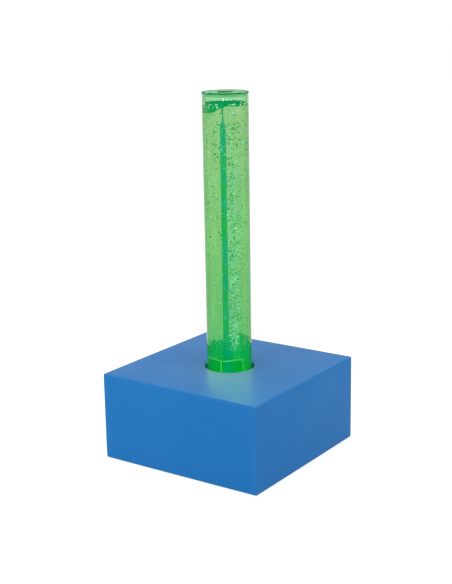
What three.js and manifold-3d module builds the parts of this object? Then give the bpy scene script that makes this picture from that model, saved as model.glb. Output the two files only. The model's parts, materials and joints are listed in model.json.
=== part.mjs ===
// Sensory bubble tube: a clear water column that stands in a padded square plinth.
// Millimetres, Z up, origin on the floor under the middle of the plinth, sides along X and Y.
// The base unit that feeds air and light to the tube is hidden in the plinth. Its sockets,
// its drain and the plinth's cable channel are at the back, which faces +Y.

import * as THREE from 'three';
import { mergeVertices } from 'three/addons/utils/BufferGeometryUtils.js';
import Module from 'manifold-3d';

const wasm = await Module();
wasm.setup();

// Fits
const SEAT = 0.3; // gap between a piece and what it rests on or fits in
const RUNNING_GAP = 0.5; // gap round a piece that turns or slides
const OVERRUN = 20; // how far a cut runs past the face it opens

// Facets of round pieces
const TUBE_SIDES = 48;
const ROUND_SIDES = 24;
const SMALL_SIDES = 12;
const HOSE_SIDES = 8;
const BOWL_STEPS = 3;

// Whole object
const TOTAL_HEIGHT = 1200;

// Padded plinth
const PLINTH_SIDE = 600;
const PLINTH_HEIGHT = 290;
const PLINTH_CORNER_RADIUS = 18;
const TOP_EDGE_RADIUS = 13;
const TOP_CROWN = 3;
const SIDE_BOW = 2;
const HEM_DRAW_IN = 6;
const HEM_RISE = 50;
const WELL_CLEARANCE = 7;
const WELL_EDGE_RADIUS = 8;
const VINYL_THICKNESS = 1.2;
const FOAM_TOP_THICKNESS = 45;
const FOAM_SIDE_THICKNESS = 25;
const PLY_TOP_THICKNESS = 15;
const PLY_SIDE_THICKNESS = 12;
const SKID_THICKNESS = 4;
const SKID_END_MARGIN = 40;
const CHANNEL_WIDTH = 50;
const CHANNEL_HEIGHT = 30;
const CORNER_POINTS = 4;
const SIDE_POINTS = 3;
const HEM_STEPS = 3;
const EDGE_STEPS = 4;
const WELL_EDGE_STEPS = 3;
const TOP_RING_shares = [0.35, 0.7];

// Tube, lid and water
const TUBE_DIAMETER = 150;
const TUBE_WALL = 5;
const LID_THICKNESS = 5;
const LID_EDGE_CHAMFER = 1;
const LID_SPIGOT_DEPTH = 8;
const LID_SPIGOT_WALL = 4;
const VENT_DIAMETER = 48;
const WATER_DROP = 33; // from the lid's top face down to the water

// Air box and standpipe in the foot of the tube
const AIR_BOX_SIDE = 72;
const AIR_BOX_TOP = 322;
const AIR_BOX_WALL = 3;
const AIR_BOX_TURN = -33; // degrees from the plinth's sides
const AIR_BOX_X = -5.7;
const AIR_BOX_Y = -4;
const DIFFUSER_HOLE_DIAMETER = 3;
const DIFFUSER_RING_DIAMETER = 46;
const DIFFUSER_HOLES = 10;
const PIPE_SOCKET_DIAMETER = 22;
const PIPE_SOCKET_DEPTH = 55;
const PIPE_DIAMETER = 15;
const PIPE_BORE = 11;
const PIPE_DEPTH_BELOW_WATER = 63;
const VENT_TIP_DIAMETER = 4;
const VENT_TIP_BORE = 2;
const VENT_TIP_RISE = 11; // above the water

// Floor flange and its seal
const FLANGE_MARGIN = 35;
const FLANGE_THICKNESS = 12;
const FLANGE_CHAMFER = 2;
const GROOVE_DEPTH = 3;
const GASKET_THICKNESS = 3;
const GASKET_WIDTH = 27;
const SCREW_DIAMETER = 6;
const SCREW_HEAD_DIAMETER = 10;
const SCREW_HEAD_HEIGHT = 6;
const SCREW_SOCKET_WIDTH = 5;
const SCREW_SOCKET_DEPTH = 3;
const SCREW_COUNT = 4;

// Base unit housing
const BASE_SIDE = 340;
const BASE_CORNER_RADIUS = 6;
const BASE_FOOT_HEIGHT = 8;
const BASE_FOOT_DIAMETER = 30;
const BASE_FOOT_TAPER = 3;
const BASE_FOOT_INSET = 30;
const BASE_PLATE_THICKNESS = 6;
const PANEL_THICKNESS = 3;
const DECK_THICKNESS = 6;
const DECK_HEADROOM = 35; // from the deck up to the plinth's plywood
const LIGHT_HOLE_DIAMETER = 110;
const VENT_SLOT_WIDTH = 60;
const VENT_SLOT_HEIGHT = 5;
const VENT_SLOT_PITCH = 12;
const VENT_SLOT_ROWS = 5;

// Lamp and its bracket
const LAMP_X = -15;
const LAMP_DIAMETER = 50;
const LAMP_RIM_HEIGHT = 3;
const LAMP_BOWL_DEPTH = 36;
const LAMP_NECK_DIAMETER = 16;
const LAMP_GLASS = 2;
const HOLDER_SIDE = 22;
const HOLDER_HEIGHT = 18;
const SHELF_DROP = 48; // from the deck's underside down to the shelf
const BRACKET_SHEET = 3;
const BRACKET_WIDTH = 70;
const BRACKET_FOOT = 16;
const BRACKET_LEFT = -100;
const BRACKET_RIGHT = 30;

// Colour wheel and its motor
const WHEEL_X = -60;
const WHEEL_DIAMETER = 132;
const WHEEL_DROP = 20; // from the deck's underside down to the wheel
const WHEEL_SHEET = 2;
const WHEEL_RIM_WIDTH = 5;
const WHEEL_SPOKE_WIDTH = 6;
const WHEEL_SPOKES = 4;
const HUB_DIAMETER = 20;
const HUB_HEIGHT = 10;
const WHEEL_SHAFT_DIAMETER = 4;
const FILTER_THICKNESS = 1.5;
const MOTOR_DIAMETER = 42;
const MOTOR_HEIGHT = 18;
const MOTOR_BEARING_DIAMETER = 12;
const MOTOR_BEARING_HEIGHT = 4;
const MOTOR_EAR_RADIUS = 5;
const MOTOR_EAR_SPREAD = 26;

// Cooling fan
const FAN_SIDE = 80;
const FAN_DEPTH = 25;
const FAN_CORNER_RADIUS = 4;
const FAN_BORE = 76;
const FAN_TIP_GAP = 1.4;
const FAN_HUB_DIAMETER = 34;
const FAN_HUB_DEPTH = 18;
const FAN_BLADES = 7;
const FAN_BLADE_THICKNESS = 1.6;
const FAN_BLADE_ROOT_CHORD = 15;
const FAN_BLADE_TIP_CHORD = 20;
const FAN_ROOT_PITCH = 52; // degrees from the fan's axis
const FAN_TIP_PITCH = 62;
const FAN_STRUT_WIDTH = 5;
const FAN_STRUT_DEPTH = 3;
const FAN_SHAFT_DIAMETER = 4;
const FAN_HEIGHT = 75; // of its axis above the base plate
const FAN_SCREW_HOLE = 4;
const FAN_SCREW_SPREAD = 71.5;
const GRILLE_RING_WIDTH = 5;
const GRILLE_RIB_WIDTH = 4;

// Air pump
const PUMP_X = 112;
const PUMP_Y = -92;
const PUMP_LENGTH = 116;
const PUMP_WIDTH = 78;
const PUMP_PLATE = 5;
const PUMP_CORNER_RADIUS = 6;
const PIVOT_PIN_DIAMETER = 4;
const PIVOT_BOSS_DIAMETER = 14;
const PIVOT_BOSS_HEIGHT = 8;
const ARM_LENGTH = 84;
const ARM_THICKNESS = 4;
const ARM_HEIGHT = 14;
const ARM_EYE_DIAMETER = 12;
const MAGNET_LENGTH = 14;
const MAGNET_WIDTH = 10;
const ARM_STUD_DIAMETER = 7;
const ARM_STUD_LENGTH = 4;
const ARM_STUD_SHARE = 0.45; // of the arm's length from its pivot
const COIL_GAP = 3;
const COIL_CORE_WIDTH = 14;
const COIL_CORE_LENGTH = 40;
const COIL_BOBBIN_SIDE = 28;
const COIL_BOBBIN_LENGTH = 22;
const DIAPHRAGM_DIAMETER = 26;
const DIAPHRAGM_FOLD = 3;
const DIAPHRAGM_LENGTH = 12;
const DIAPHRAGM_GAP = 0.8;
const VALVE_BLOCK_DEPTH = 16;
const VALVE_BLOCK_WIDTH = 30;
const VALVE_BLOCK_HEIGHT = 34;
const BARB_DIAMETER = 5;
const BARB_LENGTH = 9;
const BARB_RIDGE = 0.6;
const BARB_RIDGES = 3;
const CHECK_VALVE_DIAMETER = 16;
const CHECK_VALVE_LENGTH = 18;

// Air line from the pump to the floor of the tube
const INLET_REACH = 26; // from the air box's axis
const INLET_STEM_DIAMETER = 7.4;
const INLET_NUT_WIDTH = 13;
const INLET_NUT_HEIGHT = 5;
const INLET_DROP = 17; // from the flange's underside down to the elbow's leg
const INLET_LEG_LENGTH = 10;
const INLET_STAND = 3; // stem above the tube's floor
const HOSE_DIAMETER = 8;
const HOSE_STEPS = 24;

// Mains transformer and terminals
const CORE_WIDTH = 72;
const CORE_HEIGHT = 60;
const CORE_DEPTH = 32;
const CORE_LIMB = 12;
const CORE_FOOT_LENGTH = 12;
const CORE_FOOT_THICKNESS = 3;
const CORE_X = 112;
const CORE_Y = 70;
const WINDING_BUILD = 9;
const TERMINAL_X = -95;
const TERMINAL_Y = 105;
const TERMINAL_LENGTH = 60;
const TERMINAL_WIDTH = 20;
const TERMINAL_HEIGHT = 16;
const TERMINAL_WAYS = 6;
const TERMINAL_WELL_DIAMETER = 5;
const TERMINAL_WELL_DEPTH = 8;

// Power inlet and switch in the back panel
const INLET_X = -60;
const INLET_HEIGHT = 60; // above the base plate
const INLET_PLATE_WIDTH = 50;
const INLET_PLATE_HEIGHT = 28;
const INLET_BODY_WIDTH = 28;
const INLET_BODY_HEIGHT = 20;
const INLET_BODY_DEPTH = 20;
const INLET_WALL = 2;
const INLET_RECESS_DEPTH = 17;
const INLET_PIN_LENGTH = 10;
const INLET_PIN_WIDTH = 2;
const INLET_PIN_HEIGHT = 4;
const INLET_PIN_PITCH = 7;
const SOCKET_PLATE = 2.5;
const SWITCH_X = -115;
const SWITCH_WIDTH = 22;
const SWITCH_HEIGHT = 32;
const SWITCH_BODY_DEPTH = 16;
const SWITCH_WALL = 2.5;
const ROCKER_TILT = 9; // degrees either side of level
const ROCKER_THICKNESS = 9;
const ROCKER_PROUD = 1.5;

// Drain
const DRAIN_RADIUS = 56; // from the tube's axis
const DRAIN_BEARING = 57; // degrees from +X
const DRAIN_PIPE_DIAMETER = 12;
const DRAIN_BORE = 8;
const DRAIN_NUT_WIDTH = 19;
const DRAIN_NUT_HEIGHT = 6;
const DRAIN_DROP = 60; // from the deck's underside down to the pipe's level leg
const DRAIN_BEND_RADIUS = 20;
const DRAIN_STEPS = 10;
const VALVE_DIAMETER = 20;
const VALVE_LENGTH = 24;
const VALVE_NOZZLE_DIAMETER = 14;
const VALVE_NOZZLE_LENGTH = 8;
const VALVE_NECK_DIAMETER = 12;
const VALVE_NECK_HEIGHT = 6;
const LEVER_LENGTH = 34;
const LEVER_WIDTH = 12;
const LEVER_THICKNESS = 3;
const LEVER_TIP_RISE = 4;
const LEVER_STEM_DIAMETER = 6;
const LEVER_STEM_LENGTH = 8;

// Levels and places worked out from the sizes above
const QUARTER_TURN = Math.PI / 2;
const FULL_TURN = Math.PI * 2;
const wellRadius = TUBE_DIAMETER / 2 + WELL_CLEARANCE;
const plyBottom = SKID_THICKNESS + SEAT;
const foamTopBottom = PLINTH_HEIGHT - VINYL_THICKNESS - SEAT - FOAM_TOP_THICKNESS;
const plyTop = foamTopBottom - SEAT;
const plyShelf = plyTop - PLY_TOP_THICKNESS;
const plyHalf = PLINTH_SIDE / 2 - VINYL_THICKNESS - FOAM_SIDE_THICKNESS - 2 * SEAT;
const foamBottom = plyBottom + VINYL_THICKNESS + SEAT;

const basePlateBottom = BASE_FOOT_HEIGHT + SEAT;
const basePlateTop = basePlateBottom + BASE_PLATE_THICKNESS;
const deckTop = plyShelf - DECK_HEADROOM;
const deckBottom = deckTop - DECK_THICKNESS;
const gasketBottom = deckTop + SEAT;
const flangeBottom = gasketBottom + GASKET_THICKNESS + SEAT;
const flangeTop = flangeBottom + FLANGE_THICKNESS;
const flangeRadius = TUBE_DIAMETER / 2 + FLANGE_MARGIN;
const screwCircle = flangeRadius - FLANGE_MARGIN / 2;

const tubeRadius = TUBE_DIAMETER / 2;
const boreRadius = tubeRadius - TUBE_WALL;
const tubeBottom = flangeTop - GROOVE_DEPTH + SEAT;
const lidBottom = TOTAL_HEIGHT - LID_THICKNESS;
const tubeTop = lidBottom - SEAT;
const waterLevel = TOTAL_HEIGHT - WATER_DROP;
const pipeTop = waterLevel - PIPE_DEPTH_BELOW_WATER;

const boxTurn = THREE.MathUtils.degToRad(AIR_BOX_TURN);
const inletX = AIR_BOX_X + INLET_REACH * Math.cos(boxTurn);
const inletY = AIR_BOX_Y + INLET_REACH * Math.sin(boxTurn);
const drainBearing = THREE.MathUtils.degToRad(DRAIN_BEARING);
const drainX = DRAIN_RADIUS * Math.cos(drainBearing);
const drainY = DRAIN_RADIUS * Math.sin(drainBearing);
const drainLevel = deckBottom - DRAIN_DROP;

// Finishes
const finish = (color, roughness, metalness, opacity = 1) => ({
  color, roughness, metalness, opacity, transparent: opacity < 1,
});
const VINYL_BLUE = finish(0x3f84bd, 0.35, 0);
const FOAM = finish(0xe3d9b8, 0.95, 0);
const PLYWOOD = finish(0xc9a26b, 0.7, 0);
const ACRYLIC = finish(0xdff0e2, 0.05, 0, 0.35);
const WATER = finish(0x93cd70, 0.05, 0, 0.5);
const PIPE_GREEN = finish(0x13ad62, 0.2, 0, 0.8);
const WHITE_ENAMEL = finish(0xe8e8e4, 0.4, 0.1);
const STEEL = finish(0xb4b7ba, 0.35, 0.9);
const BLACK_RUBBER = finish(0x1b1b1c, 0.85, 0);
const BLACK_PLASTIC = finish(0x202124, 0.5, 0);
const GREY_PLASTIC = finish(0x8b9095, 0.5, 0);
const CERAMIC = finish(0xe9e4d6, 0.6, 0);
const LAMP_SILVER = finish(0xd5d8da, 0.15, 0.8);
const FILTER_GREEN = finish(0x6fc24a, 0.1, 0, 0.6);
const COPPER = finish(0xb5653a, 0.4, 0.8);
const LAMINATION = finish(0x5b5e61, 0.5, 0.7);
const BRASS = finish(0xb8963f, 0.35, 0.9);
const LEVER_RED = finish(0xb0282c, 0.45, 0);
const CLEAR_HOSE = finish(0xd9e2e0, 0.2, 0, 0.7);

const bubbleTube = new THREE.Group();

// Adds one named piece with its finish.
function addPart(name, geometry, look, parent = bubbleTube) {
  const mesh = new THREE.Mesh(geometry, new THREE.MeshStandardMaterial(look));
  mesh.name = name;
  parent.add(mesh);
  return mesh;
}

// Shared vertices, no collapsed triangles, faces pointing out.
function weld(geometry) {
  const bare = geometry.clone();
  bare.deleteAttribute('normal');
  bare.deleteAttribute('uv');
  const welded = mergeVertices(bare);
  const source = welded.index.array;
  const place = welded.attributes.position;
  const corners = [0, 1, 2].map(() => new THREE.Vector3());
  const kept = [];
  let sixfoldVolume = 0;
  for (let i = 0; i < source.length; i += 3) {
    const [a, b, c] = source.slice(i, i + 3);
    if (a === b || b === c || c === a) continue;
    kept.push(a, b, c);
    [a, b, c].forEach((vertex, corner) => corners[corner].fromBufferAttribute(place, vertex));
    sixfoldVolume += corners[0].dot(corners[1].clone().cross(corners[2]));
  }
  if (sixfoldVolume < 0) kept.reverse();
  welded.setIndex(kept);
  return welded;
}

// Joining and cutting
function toSolid(geometry) {
  const welded = weld(geometry);
  const mesh = new wasm.Mesh({
    numProp: 3,
    vertProperties: new Float32Array(welded.attributes.position.array),
    triVerts: new Uint32Array(welded.index.array),
  });
  return new wasm.Manifold(mesh);
}

function toGeometry(solid) {
  const mesh = solid.getMesh();
  const geometry = new THREE.BufferGeometry();
  geometry.setAttribute('position', new THREE.BufferAttribute(mesh.vertProperties, 3));
  geometry.setIndex(new THREE.BufferAttribute(mesh.triVerts, 1));
  return geometry;
}

const join = (first, ...rest) =>
  toGeometry(rest.reduce((solid, piece) => solid.add(toSolid(piece)), toSolid(first)));
const cut = (body, ...tools) =>
  toGeometry(tools.reduce((solid, tool) => solid.subtract(toSolid(tool)), toSolid(body)));
const common = (first, second) => toGeometry(toSolid(first).intersect(toSolid(second)));

// A box centred on x and y that stands on z.
function block(sizeX, sizeY, sizeZ, x, y, z) {
  return new THREE.BoxGeometry(sizeX, sizeY, sizeZ).translate(x, y, z + sizeZ / 2);
}

// An upright round bar from one level to another.
function rod(radius, bottom, top, x = 0, y = 0, sides = ROUND_SIDES) {
  return new THREE.CylinderGeometry(radius, radius, top - bottom, sides)
    .rotateX(QUARTER_TURN)
    .translate(x, y, (bottom + top) / 2);
}

// An upright six-sided bar, measured across its flats.
const hexCornerRadius = (acrossFlats) => acrossFlats / 2 / Math.cos(Math.PI / 6);
const hexBar = (acrossFlats, bottom, top, x, y) =>
  rod(hexCornerRadius(acrossFlats), bottom, top, x, y, 6);

// A turned piece about the upright axis. The profile is a list of radius and height.
function turned(profile, sides = ROUND_SIDES) {
  const points = profile.map(([radius, height]) => new THREE.Vector2(radius, height));
  return new THREE.LatheGeometry(points, sides).rotateX(QUARTER_TURN);
}

// A turned ring: the profile closes on itself.
const turnedRing = (profile, sides = ROUND_SIDES) => turned([...profile, profile[0]], sides);

// A flat shape given thickness upwards from z.
function plate(shape, thickness, z, curveSegments = 6) {
  const options = { depth: thickness, bevelEnabled: false, curveSegments };
  return new THREE.ExtrudeGeometry(shape, options).translate(0, 0, z);
}

function roundedRectangle(width, height, radius) {
  const shape = new THREE.Shape();
  const x = width / 2 - radius;
  const y = height / 2 - radius;
  shape.absarc(x, y, radius, 0, QUARTER_TURN);
  shape.absarc(-x, y, radius, QUARTER_TURN, 2 * QUARTER_TURN);
  shape.absarc(-x, -y, radius, 2 * QUARTER_TURN, 3 * QUARTER_TURN);
  shape.absarc(x, -y, radius, 3 * QUARTER_TURN, 4 * QUARTER_TURN);
  shape.closePath();
  return shape;
}

// A round bar swept along a curve.
function swept(curve, radius, sides, steps) {
  const section = new THREE.Shape();
  for (let i = 0; i < sides; i++) {
    const angle = (FULL_TURN * i) / sides;
    const x = radius * Math.cos(angle);
    const y = radius * Math.sin(angle);
    if (i === 0) section.moveTo(x, y);
    else section.lineTo(x, y);
  }
  section.closePath();
  return new THREE.ExtrudeGeometry(section, { steps, extrudePath: curve, bevelEnabled: false });
}

// Skins a row of rings that all have as many points. A loop closes on its first ring,
// and any other loft is capped at both ends.
function loft(rings, loop = false) {
  const count = rings[0].length;
  const points = rings.flat();
  const index = [];
  const bands = loop ? rings.length : rings.length - 1;
  for (let band = 0; band < bands; band++) {
    const low = band * count;
    const high = ((band + 1) % rings.length) * count;
    for (let i = 0; i < count; i++) {
      const next = (i + 1) % count;
      index.push(low + i, low + next, high + next, low + i, high + next, high + i);
    }
  }
  if (!loop) {
    const last = (rings.length - 1) * count;
    for (let i = 1; i < count - 1; i++) {
      index.push(0, i + 1, i, last, last + i, last + i + 1);
    }
  }
  const geometry = new THREE.BufferGeometry().setFromPoints(points);
  geometry.setIndex(index);
  return geometry;
}

// Copies of a geometry turned about the upright axis through x and y.
function aroundAxis(geometry, count, x = 0, y = 0, start = 0) {
  return Array.from({ length: count }, (_, i) =>
    geometry.clone()
      .translate(-x, -y, 0)
      .rotateZ(start + (FULL_TURN * i) / count)
      .translate(x, y, 0));
}

// Padded plinth: rings of the vinyl skin from the hem over the top and down the well

function squareRing(half, cornerRadius, z) {
  const ring = [];
  const flat = half - SIDE_BOW - cornerRadius;
  for (let quarter = 0; quarter < 4; quarter++) {
    const turn = quarter * QUARTER_TURN;
    const put = (x, y) => ring.push(
      new THREE.Vector3(x, y, z).applyAxisAngle(new THREE.Vector3(0, 0, 1), turn));
    for (let i = 0; i < CORNER_POINTS; i++) {
      const angle = (QUARTER_TURN * i) / (CORNER_POINTS - 1);
      put(flat + cornerRadius * Math.cos(angle), flat + cornerRadius * Math.sin(angle));
    }
    for (let i = 1; i <= SIDE_POINTS; i++) {
      const share = i / (SIDE_POINTS + 1);
      put(flat * (1 - 2 * share), half - SIDE_BOW + SIDE_BOW * Math.sin(Math.PI * share));
    }
  }
  return ring;
}

function roundRing(radius, z) {
  const count = 4 * (CORNER_POINTS + SIDE_POINTS);
  const start = Math.PI / 4 - ((CORNER_POINTS - 1) / 2) * (FULL_TURN / count);
  return Array.from({ length: count }, (_, i) => {
    const angle = start + (FULL_TURN * i) / count;
    return new THREE.Vector3(radius * Math.cos(angle), radius * Math.sin(angle), z);
  });
}

const mixedRing = (first, second, share, z) =>
  first.map((point, i) => point.clone().lerp(second[i], share).setZ(z));

// The skin moved inwards by an offset, from the hem at one level to the well's foot.
function skinRings(offset, hemLevel, wellFoot) {
  const rings = [];
  const half = PLINTH_SIDE / 2 - offset;
  const corner = PLINTH_CORNER_RADIUS - offset;
  const edge = TOP_EDGE_RADIUS - offset;
  const wellEdge = WELL_EDGE_RADIUS - offset;
  const well = wellRadius + offset;
  const hemTop = plyBottom + HEM_RISE;
  for (let i = 0; i <= HEM_STEPS; i++) {
    const share = i / HEM_STEPS;
    const inset = HEM_DRAW_IN * (1 - Math.sin(QUARTER_TURN * share));
    rings.push(squareRing(half - inset, corner, hemLevel + (hemTop - hemLevel) * share));
  }
  const shoulder = PLINTH_HEIGHT - TOP_CROWN - TOP_EDGE_RADIUS;
  for (let i = 0; i <= EDGE_STEPS; i++) {
    const angle = (QUARTER_TURN * i) / EDGE_STEPS;
    const inset = edge * (1 - Math.cos(angle));
    rings.push(squareRing(half - inset, corner - inset, shoulder + edge * Math.sin(angle)));
  }
  const rim = rings.at(-1);
  const crown = PLINTH_HEIGHT - offset;
  const mouth = roundRing(well + wellEdge, crown);
  for (const share of TOP_RING_shares) {
    const dip = TOP_CROWN * (1 - Math.sin(QUARTER_TURN * share));
    rings.push(mixedRing(rim, mouth, share, crown - dip));
  }
  for (let i = 0; i <= WELL_EDGE_STEPS; i++) {
    const angle = (QUARTER_TURN * i) / WELL_EDGE_STEPS;
    const radius = well + wellEdge * (1 - Math.sin(angle));
    rings.push(roundRing(radius, crown - wellEdge * (1 - Math.cos(angle))));
  }
  rings.push(roundRing(well, wellFoot));
  return rings;
}

function channelCut() {
  const depth = PLINTH_SIDE / 2 - plyHalf + PLY_SIDE_THICKNESS + 2 * OVERRUN;
  const middle = PLINTH_SIDE / 2 + OVERRUN - depth / 2;
  return block(CHANNEL_WIDTH, depth, CHANNEL_HEIGHT + OVERRUN, 0, middle, -OVERRUN);
}

function vinylCover() {
  const returnHalf = plyHalf + SEAT;
  const hemReturn = (z) => squareRing(returnHalf + SIDE_BOW, SEAT, z);
  const outer = skinRings(0, plyBottom, plyShelf);
  const inner = skinRings(VINYL_THICKNESS, plyBottom + VINYL_THICKNESS, plyShelf);
  const rings = [
    hemReturn(plyBottom),
    ...outer,
    ...inner.reverse(),
    hemReturn(plyBottom + VINYL_THICKNESS),
  ];
  return cut(loft(rings, true), channelCut());
}

function foamParts() {
  const offset = VINYL_THICKNESS + SEAT;
  const pad = loft(skinRings(offset, foamBottom, foamBottom), true);
  const wide = PLINTH_SIDE + OVERRUN;
  const topHeight = PLINTH_HEIGHT + OVERRUN - foamTopBottom;
  const sideHeight = plyTop - foamBottom + SEAT;
  const reach = PLINTH_SIDE / 2 + OVERRUN - plyHalf - SEAT;
  const middle = plyHalf + SEAT + reach / 2;
  const top = common(pad, block(wide, wide, topHeight, 0, 0, foamTopBottom));
  const acrossY = (y) => common(pad, block(wide, reach, sideHeight, 0, y, foamBottom - SEAT));
  const acrossX = (x) =>
    common(pad, block(reach, 2 * plyHalf, sideHeight, x, 0, foamBottom - SEAT));
  addPart('foam_top_pad', top, FOAM);
  addPart('foam_side_front', acrossY(-middle), FOAM);
  addPart('foam_side_back', cut(acrossY(middle), channelCut()), FOAM);
  addPart('foam_side_left', acrossX(-middle), FOAM);
  addPart('foam_side_right', acrossX(middle), FOAM);
}

function carcass() {
  const side = 2 * plyHalf;
  const sideHeight = plyShelf - SEAT - plyBottom;
  const middle = plyHalf - PLY_SIDE_THICKNESS / 2;
  const between = side - 2 * (PLY_SIDE_THICKNESS + SEAT);
  const holeRadius = wellRadius + VINYL_THICKNESS + SEAT;
  const top = cut(
    block(side, side, PLY_TOP_THICKNESS, 0, 0, plyShelf),
    rod(holeRadius, plyShelf - OVERRUN, plyTop + OVERRUN, 0, 0, TUBE_SIDES));
  const across = (y) => block(side, PLY_SIDE_THICKNESS, sideHeight, 0, y, plyBottom);
  const along = (x) => block(PLY_SIDE_THICKNESS, between, sideHeight, x, 0, plyBottom);
  const skidLength = between - 2 * SKID_END_MARGIN;
  const skid = (x) => block(PLY_SIDE_THICKNESS, skidLength, SKID_THICKNESS, x, 0, 0);
  addPart('carcass_top', top, PLYWOOD);
  addPart('carcass_front', across(-middle), PLYWOOD);
  addPart('carcass_back', cut(across(middle), channelCut()), PLYWOOD);
  addPart('carcass_left', along(-middle), PLYWOOD);
  addPart('carcass_right', along(middle), PLYWOOD);
  addPart('skid_left', skid(-middle), BLACK_RUBBER);
  addPart('skid_right', skid(middle), BLACK_RUBBER);
}

// Tube, lid and water

function tubeRing() {
  return turnedRing([
    [boreRadius, tubeBottom], [tubeRadius, tubeBottom], [tubeRadius, tubeTop], [boreRadius, tubeTop],
  ], TUBE_SIDES);
}

function lidDisc() {
  const vent = VENT_DIAMETER / 2;
  const spigotOuter = boreRadius - RUNNING_GAP;
  const spigotInner = spigotOuter - LID_SPIGOT_WALL;
  const spigotFoot = lidBottom - LID_SPIGOT_DEPTH;
  return turnedRing([
    [vent, lidBottom], [spigotInner, lidBottom], [spigotInner, spigotFoot],
    [spigotOuter, spigotFoot], [spigotOuter, lidBottom], [tubeRadius, lidBottom],
    [tubeRadius, TOTAL_HEIGHT - LID_EDGE_CHAMFER],
    [tubeRadius - LID_EDGE_CHAMFER, TOTAL_HEIGHT],
    [vent, TOTAL_HEIGHT],
  ], TUBE_SIDES);
}

const boxBottom = flangeTop + SEAT;

// A square bar on the air box's axis, turned as the box is.
function boxBar(side, bottom, top) {
  return block(side, side, top - bottom, 0, 0, bottom)
    .rotateZ(boxTurn)
    .translate(AIR_BOX_X, AIR_BOX_Y, 0);
}

function airBox() {
  const socketTop = AIR_BOX_TOP + PIPE_SOCKET_DEPTH;
  const socket = rod(PIPE_SOCKET_DIAMETER / 2, AIR_BOX_TOP - AIR_BOX_WALL, socketTop,
    AIR_BOX_X, AIR_BOX_Y, SMALL_SIDES);
  const cavity = boxBar(AIR_BOX_SIDE - 2 * AIR_BOX_WALL, boxBottom - OVERRUN,
    AIR_BOX_TOP - AIR_BOX_WALL);
  const socketBore = rod(PIPE_DIAMETER / 2 + SEAT, AIR_BOX_TOP, socketTop + OVERRUN,
    AIR_BOX_X, AIR_BOX_Y, SMALL_SIDES);
  const airway = rod(PIPE_BORE / 2, AIR_BOX_TOP - OVERRUN, AIR_BOX_TOP + OVERRUN,
    AIR_BOX_X, AIR_BOX_Y, SMALL_SIDES);
  const hole = rod(DIFFUSER_HOLE_DIAMETER / 2, AIR_BOX_TOP - OVERRUN, AIR_BOX_TOP + OVERRUN,
    AIR_BOX_X + DIFFUSER_RING_DIAMETER / 2, AIR_BOX_Y, HOSE_SIDES);
  const holes = aroundAxis(hole, DIFFUSER_HOLES, AIR_BOX_X, AIR_BOX_Y, boxTurn);
  const outside = join(boxBar(AIR_BOX_SIDE, boxBottom, AIR_BOX_TOP), socket);
  return cut(outside, cavity, socketBore, airway, ...holes);
}

function standpipe() {
  const foot = AIR_BOX_TOP + SEAT;
  const tipTop = waterLevel + VENT_TIP_RISE;
  const pipe = PIPE_DIAMETER / 2;
  const tip = VENT_TIP_DIAMETER / 2;
  const neck = pipeTop - (pipe - tip);
  return turnedRing([
    [PIPE_BORE / 2, foot], [pipe, foot], [pipe, neck], [tip, pipeTop], [tip, tipTop],
    [VENT_TIP_BORE / 2, tipTop], [VENT_TIP_BORE / 2, neck], [PIPE_BORE / 2, neck - tip],
  ], SMALL_SIDES).translate(AIR_BOX_X, AIR_BOX_Y, 0);
}

// The water fills the bore round the air box, its socket and the standpipe.
function waterColumn() {
  const aboveWater = waterLevel + OVERRUN;
  const around = (radius, bottom, top) =>
    rod(radius + SEAT, bottom, top, AIR_BOX_X, AIR_BOX_Y, SMALL_SIDES);
  return cut(
    rod(boreRadius - SEAT, flangeTop + SEAT, waterLevel, 0, 0, TUBE_SIDES),
    boxBar(AIR_BOX_SIDE + 2 * SEAT, flangeTop - OVERRUN, AIR_BOX_TOP + SEAT),
    around(PIPE_SOCKET_DIAMETER / 2, AIR_BOX_TOP, AIR_BOX_TOP + PIPE_SOCKET_DEPTH + SEAT),
    around(PIPE_DIAMETER / 2, AIR_BOX_TOP, pipeTop + SEAT),
    around(VENT_TIP_DIAMETER / 2, pipeTop, aboveWater));
}

// Floor flange, its gasket and screws

function floorFlange() {
  const disc = turned([
    [0, flangeBottom], [flangeRadius, flangeBottom], [flangeRadius, flangeTop - FLANGE_CHAMFER],
    [flangeRadius - FLANGE_CHAMFER, flangeTop], [0, flangeTop],
  ], ROUND_SIDES);
  const groove = turnedRing([
    [boreRadius - SEAT, flangeTop - GROOVE_DEPTH], [tubeRadius + SEAT, flangeTop - GROOVE_DEPTH],
    [tubeRadius + SEAT, flangeTop + OVERRUN], [boreRadius - SEAT, flangeTop + OVERRUN],
  ], TUBE_SIDES);
  const bore = (radius, x, y) =>
    rod(radius + SEAT, flangeBottom - OVERRUN, flangeTop + OVERRUN, x, y, SMALL_SIDES);
  const screwHoles = aroundAxis(bore(SCREW_DIAMETER / 2, screwCircle, 0), SCREW_COUNT,
    0, 0, Math.PI / 4);
  return cut(disc, groove, bore(INLET_STEM_DIAMETER / 2, inletX, inletY),
    bore(DRAIN_PIPE_DIAMETER / 2, drainX, drainY), ...screwHoles);
}

function flangeGasket() {
  const outer = screwCircle + GASKET_WIDTH / 2;
  const inner = screwCircle - GASKET_WIDTH / 2;
  const top = gasketBottom + GASKET_THICKNESS;
  const ring = turnedRing([
    [inner, gasketBottom], [outer, gasketBottom], [outer, top], [inner, top],
  ], ROUND_SIDES);
  const hole = rod(SCREW_DIAMETER / 2 + SEAT, gasketBottom - OVERRUN, top + OVERRUN,
    screwCircle, 0, SMALL_SIDES);
  return cut(ring, ...aroundAxis(hole, SCREW_COUNT, 0, 0, Math.PI / 4));
}

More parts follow.
